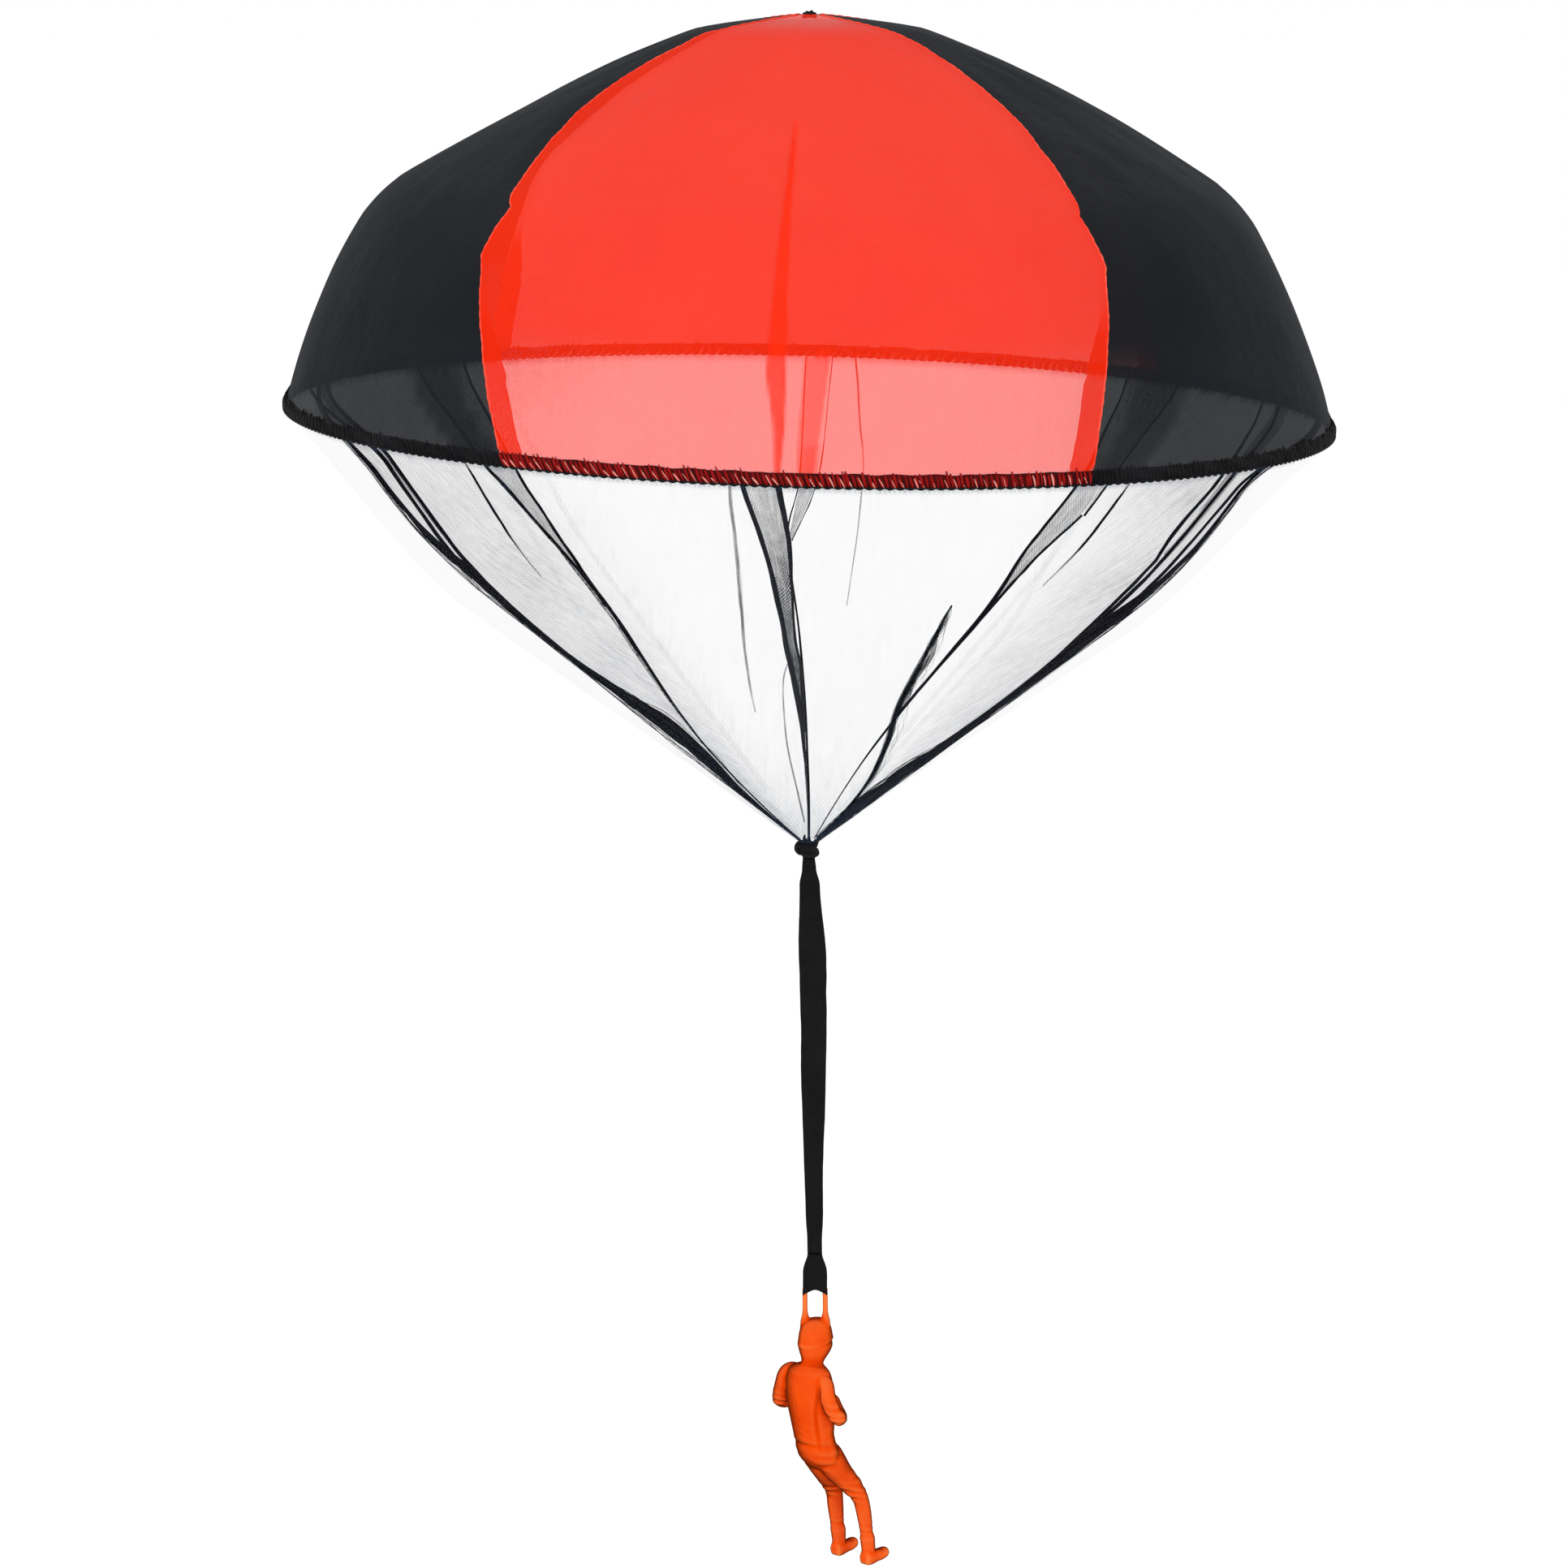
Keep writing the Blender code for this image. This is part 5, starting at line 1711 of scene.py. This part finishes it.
@dataclass
class Strap:
    """The doubled ribbon from the knot to the figure, and the bight that goes round the figure's loop."""

    shop: Workshop
    top: Place = (0.0, 0.0, -0.293200)
    neck: Place = (0.0023, 0.0, -0.436822)
    bar: Place = (0.0023, 0.0, -0.448522)
    cloth: float = 0.0006
    parted: float = 0.0006
    places: tuple[float, ...] = (0.0, 0.03, 0.07, 0.24, 0.49, 0.89, 0.97, 1.0)
    widths: tuple[float, ...] = (0.0040, 0.0047, 0.0071, 0.0095, 0.0088, 0.0061, 0.0050, 0.0050)
    bar_radius: float = 0.00095
    bight_width: float = 0.0086
    hang: float = 0.0021
    lean: float = 0.0009

    def width(self, share: float) -> float:
        """Returns the ribbon's width at a share of its length."""
        for index in range(len(self.places) - 1):
            start, end = self.places[index], self.places[index + 1]
            if share <= end:
                grown = ease((share - start) / (end - start))
                return blend(self.widths[index], self.widths[index + 1], grown)
        return self.widths[-1]

    def ply(self, front: bool) -> Piece:
        """Makes one ply, gathered at both ends and creased lengthwise.

        Args:
            front: Whether it is the front one.

        Returns:
            The piece.
        """
        former = Former()
        side = -1 if front else 1
        columns, rows = 14, 110
        top, neck = Vector(self.top), Vector(self.neck)

        def place(column: int, row: int) -> Vector:
            """Returns a point of the ply, bowed away from the other and pleated where it is drawn in."""
            share = row / rows
            across = column / columns * 2 - 1
            half = self.width(share) / 2
            half *= 1 + 0.03 * waver(share * 22, side * 3.0, across)
            tight = 1 - min(half * 2 / 0.0096, 1.0)
            fold = math.cos(across * math.pi * 2.5 + side) * 0.0008 * tight
            crease = 0.00035 * bump(across - 0.55, 0.25) * ease(share * 4) * ease((1 - share) * 4)
            wave = 0.0004 * waver(across * 0.8, share * 11, side * 5.0)
            bow = self.parted * math.sin(math.pi * share) * (1 - across**2) + 0.0005
            deep = side * (bow + abs(fold) + crease + wave * (1 - tight))
            sway = 0.0003 * waver(share * 7, 2.0, 0.0) * math.sin(math.pi * share)
            sway += self.lean * bump(share - 0.36, 0.34)
            return top.lerp(neck, share) + Vector((-side * across * half + sway, deep, 0.0))

        former.lay(columns, rows, place)
        name = "front" if front else "back"
        return self.shop.piece(f"ribbon_{name}", former, Look.RIBBON, None, [f"strap_ply_{name}"], self.cloth)

    def bight(self) -> Piece:
        """Makes the bight: down in front, under the bar and up behind, wider than the bar's loop at its foot.

        Returns:
            The piece.
        """
        former = Former()
        inner = self.bar_radius + 0.0005
        start = Vector(self.neck)
        drop = self.neck[2] - self.bar[2]
        rows, columns, turns = 26, 16, 6

        def side_row(step: int, across: float) -> tuple[float, float, float]:
            """Returns depth, height and width down one face: its edges hang lower than its middle."""
            share = step / rows
            width = blend(self.widths[-1], self.bight_width, ease(share / 0.60))
            hang = self.hang * abs(across) ** 1.6 * ease((share - 0.30) / 0.70)
            high = -share * drop - hang
            bulge = 0.0011 * math.sin(math.pi * min(share * 1.1, 1.0)) * (1 - 0.5 * abs(across))
            return blend(0.0009, inner, share) + bulge, high, width

        def place(column: int, row: int) -> Vector:
            """Returns a point of the bight: down in front, under the bar and up behind."""
            across = column / columns * 2 - 1
            if row <= rows:
                deep, high, wide = side_row(row, across)
                deep = -deep
            elif row >= rows + turns:
                deep, high, wide = side_row(2 * rows + turns - row, across)
            else:
                turn = math.pi * (row - rows) / turns
                _, low, wide = side_row(rows, across)
                deep = -inner * math.cos(turn)
                high = low - inner * math.sin(turn) * 0.9
            near = bump(high, 0.006)
            fold = 0.0005 * math.cos(across * math.pi * 2.2) * near
            fold += 0.0004 * waver(across * 2.1, high * 260, deep * 900)
            return start + Vector((across * wide / 2, deep + (-1 if deep < 0 else 1) * abs(fold), high))

        former.lay(columns, 2 * rows + turns, place)
        return self.shop.piece("ribbon_bight", former, Look.RIBBON, "strap_end", ["strap_bight"], self.cloth)

    def build(self) -> None:
        bight = self.bight()
        for front in (True, False):
            piece = self.ply(front)
            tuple(self.top)
            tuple(self.neck)
            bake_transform(piece)
            length = (Vector(self.neck) - Vector(self.top)).length
            flat = (0.0100, length + 0.0006)
            area = min(self.shop.area(piece), flat[0] * flat[1])


@dataclass
class Figure:
    """The moulded paratrooper: one body of helmet, head, trunk, limbs and boots, and its loop.

    Every place is a share of the figure's height, measured forward, to its right and down from the top of the
    helmet.
    """

    shop: Workshop
    bar: Place = (0.0023, 0.0, -0.448522)
    height: float = 0.0933
    turn: float = 45.0
    shift: Place = (-0.0008, -0.0034, -0.0111)
    bar_radius: float = 0.00098
    loop_half: float = 0.0036
    loop_corner: float = 0.0016
    grain: float = 0.00040
    helmet: Table = thousandths(
        (14, 0, 8, 10), (14, 6, 30, 36), (14, 22, 46, 56), (14, 47, 56, 67), (14, 70, 60, 71), (14, 82, 61, 73),
        (14, 87, 62, 75), (14, 94, 61, 74), (14, 104, 52, 62),
    )
    helmet_tilt: float = 0.20
    head: Table = thousandths(
        (16, 60, 28, 36), (16, 80, 46, 56), (15, 102, 60, 72), (12, 130, 55, 65), (4, 158, 44, 49),
        (-5, 176, 43, 44), (-12, 205, 46, 48),
    )
    face: Table = thousandths(
        (52, 112, 20, 24), (57, 128, 14, 22), (55, 142, 18, 19), (46, 158, 21, 22), (36, 168, 14, 18),
    )
    trunk: Table = thousandths(
        (-10, 176, 48, 44), (-13, 188, 78, 50), (-17, 206, 100, 58), (-18, 252, 110, 69), (-12, 320, 108, 75),
        (-3, 395, 98, 72), (4, 455, 90, 67), (7, 463, 90, 67), (11, 478, 89, 67), (15, 486, 89, 67),
        (29, 530, 90, 72), (47, 572, 80, 67), (64, 602, 54, 48),
    )
    leg: Table = thousandths(
        (30, 30, 494, 26, 34), (40, 35, 530, 46, 56), (74, 35, 580, 49, 58), (118, 37, 634, 44, 50),
        (168, 50, 692, 37, 40), (199, 61, 744, 31, 32), (212, 69, 810, 28, 30), (220, 74, 880, 25, 26),
        (224, 76, 912, 28, 29), (228, 78, 955, 26, 28), (230, 79, 984, 24, 26),
    )
    left_leg: Table = thousandths(
        (30, 30, 494, 26, 34), (40, 35, 530, 46, 56), (72, 36, 580, 47, 56), (112, 44, 634, 40, 49),
        (160, 62, 692, 34, 40), (194, 75, 744, 31, 35), (209, 82, 810, 30, 33), (219, 83, 880, 26, 28),
        (224, 82, 912, 28, 30), (228, 81, 955, 26, 28), (230, 80, 984, 24, 26),
    )
    boot: Table = thousandths(
        (-29, 79, 980, 15, 16), (-25, 79, 982, 26, 32), (0, 80, 984, 29, 35), (28, 81, 986, 29, 29),
        (56, 82, 989, 32, 23), (80, 83, 986, 29, 19), (92, 83, 982, 16, 12),
    )
    boot_forward: float = 0.228
    boot_pitch: float = 6.0
    sole: float = -0.7
    arm: Table = thousandths(
        (-16, 50, 222, 18, 22), (-19, 82, 222, 32, 38), (-23, 112, 240, 37, 41), (-24, 131, 285, 36, 39),
        (-20, 150, 328, 34, 35), (-8, 160, 353, 31, 31), (20, 145, 356, 29, 28), (60, 99, 330, 27, 26),
        (84, 61, 308, 25, 26), (96, 42, 301, 14, 16),
    )
    right_arm: Table = thousandths(
        (-16, 50, 222, 18, 22), (-19, 72, 226, 29, 34), (-24, 92, 242, 33, 38), (-26, 107, 290, 32, 36),
        (-20, 132, 338, 31, 33), (-8, 148, 362, 29, 29), (18, 130, 364, 27, 26), (45, 84, 346, 25, 24),
        (62, 50, 326, 24, 24), (74, 34, 314, 14, 16),
    )
    folds: Table = (
        (0.168, 0.053, 0.70, 0.085, 8.0), (0.03, 0.04, 0.53, 0.085, 6.0),
        (-0.018, 0.145, 0.345, 0.070, 9.0), (0.216, 0.077, 0.87, 0.045, 10.0),
    )

    def __post_init__(self) -> None:
        """Works out the figure's own directions."""
        angle = math.radians(self.turn)
        self.ahead = Vector((math.cos(angle), math.sin(angle), 0.0))
        self.right = Vector((math.sin(angle), -math.cos(angle), 0.0))

    def place(self, forward: float, side: float, drop: float) -> Vector:
        """Returns a place on the figure from shares of its height."""
        start = Vector(self.bar) + Vector(self.shift)
        return start + (self.ahead * forward + self.right * side + Vector((0.0, 0.0, -drop))) * self.height

    def ring(
        self, centre: Vector, across: Vector, front: Vector, half: Vector, count: int, sole: float = -1.0
    ) -> list[Vector]:
        """Places a ring of points.

        Args:
            centre: Its middle.
            across: The direction of its width.
            front: The direction of its depth.
            half: Its half width and half depth, as shares of the figure's height.
            count: How many points it has.
            sole: The lowest level of its back, as a share of its half depth.

        Returns:
            Its points.
        """
        turns = [math.tau * column / count for column in range(count)]
        offs = [across * (half.x * math.cos(turn)) + front * (half.y * max(math.sin(turn), sole)) for turn in turns]
        return [centre + off * self.height for off in offs]

    def upright(self, former: Former, table: Table, tilt: float = 0.0) -> None:
        """Adds a body through level rings, smooth between its stations.

        Args:
            former: What holds the shape.
            table: Forward, drop, half width and half depth at each station.
            tilt: How much the fronts of the lower rings are raised.
        """
        wide_line = [Vector(row[:3]) for row in table]
        deep_line = [Vector((row[0], row[1], row[3])) for row in table]
        rings = []
        steps = (len(table) - 1) * 4
        for step in range(steps + 1):
            forward, drop, wide = through(wide_line, step / 4)
            half = Vector((wide, through(deep_line, step / 4).z))
            lifted = self.ahead + Vector((0.0, 0.0, tilt * min(drop / table[-1][1], 1.0)))
            rings.append(self.ring(self.place(forward, 0.0, drop), self.right, lifted, half, 32))
        former.loft(rings)

    def limb(self, former: Former, table: Table, side: int) -> None:
        """Adds a body through rings square to its path.

        Args:
            former: What holds the shape.
            table: Forward, side, drop, half width and half depth at each station.
            side: 1 for the figure's right and -1 for its left.
        """
        centres = [self.place(row[0], side * row[1], row[2]) for row in table]
        sizes = [Vector((row[3], row[4])) for row in table]
        rings = []
        across = self.right
        steps = (len(table) - 1) * 5
        points = [through(centres, step / 5) for step in range(steps + 1)]
        for step in range(steps + 1):
            along = (points[min(step + 1, steps)] - points[max(step - 1, 0)]).normalized()
            across = (across - along * across.dot(along)).normalized()
            rings.append(self.ring(points[step], across, along.cross(across), through(sizes, step / 5), 24))
        former.loft(rings)

    def shoe(self, former: Former, side: int) -> None:
        """Adds a boot with a flat sole, turned up a little at the toe.

        Args:
            former: What holds the shape.
            side: 1 for the figure's right and -1 for its left.
        """
        pitch = math.radians(self.boot_pitch)
        rings = []
        stations = [Vector((row[0], row[2])) for row in self.boot]
        sides = [Vector((row[1], 0.0)) for row in self.boot]
        sizes = [Vector((row[3], row[4])) for row in self.boot]
        steps = (len(self.boot) - 1) * 4
        for step in range(steps + 1):
            along, drop = through(stations, step / 4)
            forward = self.boot_forward + along * math.cos(pitch)
            centre = self.place(forward, side * through(sides, step / 4).x, drop)
            centre.z += along * math.sin(pitch) * self.height
            up = Vector((0.0, 0.0, 1.0))
            rings.append(self.ring(centre, self.right, up, through(sizes, step / 4), 24, self.sole))
        former.loft(rings)

    def loop(self, former: Former) -> None:
        """Adds the loop over the helmet: a bar with rounded corners and two legs that sink into the helmet."""
        path = []
        half, corner = self.loop_half, self.loop_corner
        foot = Vector((self.shift[0], self.shift[1], 0.0)) + self.ahead * (0.014 * self.height)
        for step in range(10):
            down = (1 - step / 9) * 0.0156 + corner
            path.append(Vector((-half, 0.0, -down)) + foot * min((down - corner) / 0.0111, 1.0))
        for step in range(1, 7):
            turn = math.pi - math.pi / 2 * step / 6
            path.append(Vector((-half + corner + corner * math.cos(turn), 0.0, -corner + corner * math.sin(turn))))
        path += [Vector((-point.x + 2 * foot.x * min(max(-point.z - corner, 0) / 0.0111, 1.0), point.y, point.z))
                 for point in reversed(path)]
        path = [Vector(self.bar) + point for point in path]
        radii = []
        for point in path:
            sunk = ease((self.bar[2] - point.z - 0.0085) / 0.005)
            radii.append(self.bar_radius * (1 + 0.9 * sunk))
        former.tube(path, radii, 20)

    def body(self) -> Former:
        """Returns the plain body, as overlapping closed parts."""
        former = Former()
        self.upright(former, self.helmet, self.helmet_tilt)
        self.upright(former, self.head)
        self.upright(former, self.face)
        self.upright(former, self.trunk)
        self.loop(former)
        for side in (-1, 1):
            self.limb(former, self.leg if side > 0 else self.left_leg, side)
            self.limb(former, self.right_arm if side > 0 else self.arm, side)
            self.shoe(former, side)
        return former

    def carve(self, mesh: bpy.types.Mesh) -> None:
        """Moves the skin for cloth folds at the knees, elbows and waist.

        Args:
            mesh: The body's mesh.
        """
        places = []
        for side in (-1, 1):
            for forward, out, drop, reach, ribs in self.folds:
                places.append((self.place(forward, side * out, drop), reach, ribs))
        places.append((self.place(0.0, 0.0, 0.42), 0.080, 7.0))
        shape = bmesh.new()
        shape.from_mesh(mesh)
        shape.normal_update()
        for vertex in shape.verts:
            push = 0.0
            for centre, reach, ribs in places:
                off = (vertex.co - centre) / self.height
                near = bump(off.length, reach)
                if near > 0.02:
                    beat = math.sin(off.z * ribs * 26 + 2.5 * noise.noise(vertex.co * 220) + off.x * 30)
                    push += 0.0030 * self.height * near * beat
            push -= 0.0060 * self.height * self.groove(vertex.co)
            push += 0.0050 * self.height * self.banded(vertex.co)
            vertex.co += vertex.normal * push
        shape.to_mesh(mesh)
        shape.free()

    def banded(self, spot: Vector) -> float:
        """Returns how far the belt and the boot tops stand out, from 0 to 1."""
        off = spot - self.place(0.0, 0.0, 0.0)
        drop = -off.z / self.height
        return 0.2 * bump(drop - 0.470, 0.014) - 0.2 * bump(drop - 0.490, 0.010) + 0.4 * bump(drop - 0.905, 0.014)

    def groove(self, spot: Vector) -> float:
        """Returns how deep the fold of the jacket is behind each arm, from 0 to 1."""
        off = spot - self.place(0.0, 0.0, 0.0)
        forward = off.dot(self.ahead) / self.height
        side = abs(off.dot(self.right)) / self.height
        drop = -off.z / self.height
        behind = ease((side - forward - 0.02) / 0.05)
        along = ease((drop - 0.20) / 0.08) * ease((0.53 - drop) / 0.10)
        line = forward + side - 0.026 + 0.010 * math.sin(drop * 22)
        return bump(line, 0.016) * behind * along

    def shaded(self, shape: bmesh.types.BMesh) -> None:
        """Keeps on each point how hollow the skin is round it, near to and farther off, from which the plastic's
        finish paints shade in hollows and highlights on edges.

        Args:
            shape: The skin, which is given a layer that is above 0 in hollows and below 0 on edges.
        """
        shape.normal_update()
        kept = shape.verts.layers.float.new("hollow")
        shape.verts.ensure_lookup_table()
        around = [[edge.other_vert(vertex).index for edge in vertex.link_edges] for vertex in shape.verts]
        near = []
        for vertex in shape.verts:
            ways = [(edge.other_vert(vertex).co - vertex.co).normalized() for edge in vertex.link_edges]
            near.append(sum(way.dot(vertex.normal) for way in ways) / max(len(ways), 1))
        far = list(near)
        for turn in range(14):
            sums = [value + sum(far[other] for other in others) for value, others in zip(far, around)]
            far = [total / (len(others) + 1) for total, others in zip(sums, around)]
            if turn == 1:
                near = list(far)
        for vertex, close, wide in zip(shape.verts, near, far):
            vertex[kept] = 2.2 * close + 6.0 * wide

    def build(self) -> None:
        """Makes the figure: the body's parts are joined into one skin, smoothed and carved."""
        plain = self.body()
        rough = bpy.data.meshes.new("figure_rough")
        plain.shape.to_mesh(rough)
        plain.shape.free()
        holder = placed("figure_rough", rough)
        joined = holder.modifiers.new("joined", "REMESH")
        joined.mode = "VOXEL"
        joined.voxel_size = self.grain
        ready = holder.evaluated_get(bpy.context.evaluated_depsgraph_get())
        mesh = bpy.data.meshes.new_from_object(ready)
        bpy.data.objects.remove(holder)
        self.carve(mesh)
        former = Former()
        former.shape.from_mesh(mesh)
        for _ in range(3):
            bmesh.ops.smooth_vert(
                former.shape, verts=former.shape.verts, factor=0.5, use_axis_x=True, use_axis_y=True, use_axis_z=True
            )
        self.shaded(former.shape)
        self.shop.piece("paratrooper", former, Look.PLASTIC, "figure", ["figure"])


@dataclass
class Studio:
    """Plain pale floor, soft light, and the camera at the photograph's angle."""

    place: Place = (-0.0087, -2.0, 0.115)
    pitch: float = 10.82
    lens: float = 133.88
    floor: float = -0.75
    reach: float = 12.0
    world: float = 0.68
    glow: float = 0.42

    def camera(self) -> None:
        """Makes the camera."""
        data = bpy.data.cameras.new("view")
        data.lens = self.lens
        data.sensor_width = 36.0
        data.clip_start, data.clip_end = 0.05, 60.0
        made = placed("view", data)
        made.location = self.place
        made.rotation_euler = (math.radians(90 - self.pitch), 0.0, 0.0)
        bpy.context.scene.camera = made

    def lamp(self, name: str, place: Vector, size: float, power: float) -> None:
        """Makes a soft square lamp that faces the toy.

        Args:
            name: Its name.
            place: Where it stands.
            size: The length of its side.
            power: Its power in watts.
        """
        data = bpy.data.lights.new(name, "AREA")
        data.shape = "SQUARE"
        data.size = size
        data.energy = power
        made = placed(name, data)
        made.location = place
        aim = Vector((0.0, 0.0, -0.25)) - place
        made.rotation_euler = aim.to_track_quat("-Z", "Y").to_euler()

    def ground(self) -> None:
        """Makes the floor, white to the camera but for the toy's own shadow."""
        shape = bmesh.new()
        bmesh.ops.create_grid(shape, x_segments=1, y_segments=1, size=self.reach)
        bmesh.ops.translate(shape, verts=shape.verts, vec=Vector((0.0, 0.0, self.floor)))
        mesh = bpy.data.meshes.new("ground")
        shape.to_mesh(mesh)
        shape.free()
        made = placed("ground", mesh)
        make = Shading("pale_floor")
        cloud = make.fill(make.add("ShaderNodeTexNoise"), Vector=make.solid, Scale=3.0)
        stuff = make.shade(
            Base_Color=make.mix(cloud.outputs[0], (0.80, 0.80, 0.80), (0.83, 0.83, 0.83)),
            Roughness=0.9,
            Emission_Color=(1.0, 1.0, 1.0),
            Emission_Strength=make.maths("MULTIPLY", self.seen(make), self.glow),
        )
        mesh.materials.append(stuff)
        made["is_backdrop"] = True

    @staticmethod
    def seen(make: NodeMaker) -> Socket:
        """Returns a socket that is 1 for what the camera sees, also in gloss and through clear things."""
        path = make.add("ShaderNodeLightPath")
        gloss = make.maths("ADD", path.outputs["Is Glossy Ray"], path.outputs["Is Transmission Ray"])
        return make.maths("ADD", path.outputs["Is Camera Ray"], gloss, clamp=True)

    def sky(self) -> None:
        """Sets the world: white where it is seen, and a plain level where it lights."""
        world = bpy.data.worlds.new("studio")
        world.use_nodes = True
        make = NodeMaker(world.node_tree)
        back = world.node_tree.nodes["Background"]
        back.inputs["Color"].default_value = (1.0, 1.0, 1.0, 1.0)
        level = make.maths("MULTIPLY_ADD", self.seen(make), 1 - self.world, self.world)
        make.join(level, back.inputs["Strength"])
        bpy.context.scene.world = world

    def build(self) -> None:
        """Makes the camera, lamps, floor and world."""
        self.camera()
        self.lamp("key", Vector((-1.3, -2.2, 1.5)), 1.6, 34.0)
        self.lamp("fill", Vector((1.9, -1.6, 0.3)), 1.6, 10.0)
        self.ground()
        self.sky()
        bpy.context.scene.view_settings.view_transform = "Standard"


def sizes(kept: object) -> list:
    """Returns a box as plain lists of numbers."""
    return [[float(value) for value in corner] for corner in kept]


def main() -> None:
    """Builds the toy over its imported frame, class by class."""
    logging.basicConfig(level=logging.INFO, format="%(message)s")
    packed = sizes(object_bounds())
    figure_middle = Vector((0.0015, -0.0034, -0.50))
    angle = math.radians(45.0)
    finishes = Finishes(figure_middle, Vector((math.sin(angle), -math.cos(angle), 0.0)))
    shop = Workshop(finishes)
    form = ParachuteForm()
    Studio().build()
    canopy = Canopy(form, shop)
    canopy.build()
    Hem(form, canopy, shop).build()
    NetSkirt(form, canopy, shop).build()
    GatherKnot(shop).build()
    Strap(shop).build()
    Figure(shop).build()
    {"packed": packed, "visual": sizes(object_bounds())}
    LOG.info("toy parachute on %d packed nodes", len(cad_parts))


if __name__ == "__main__":
    main()
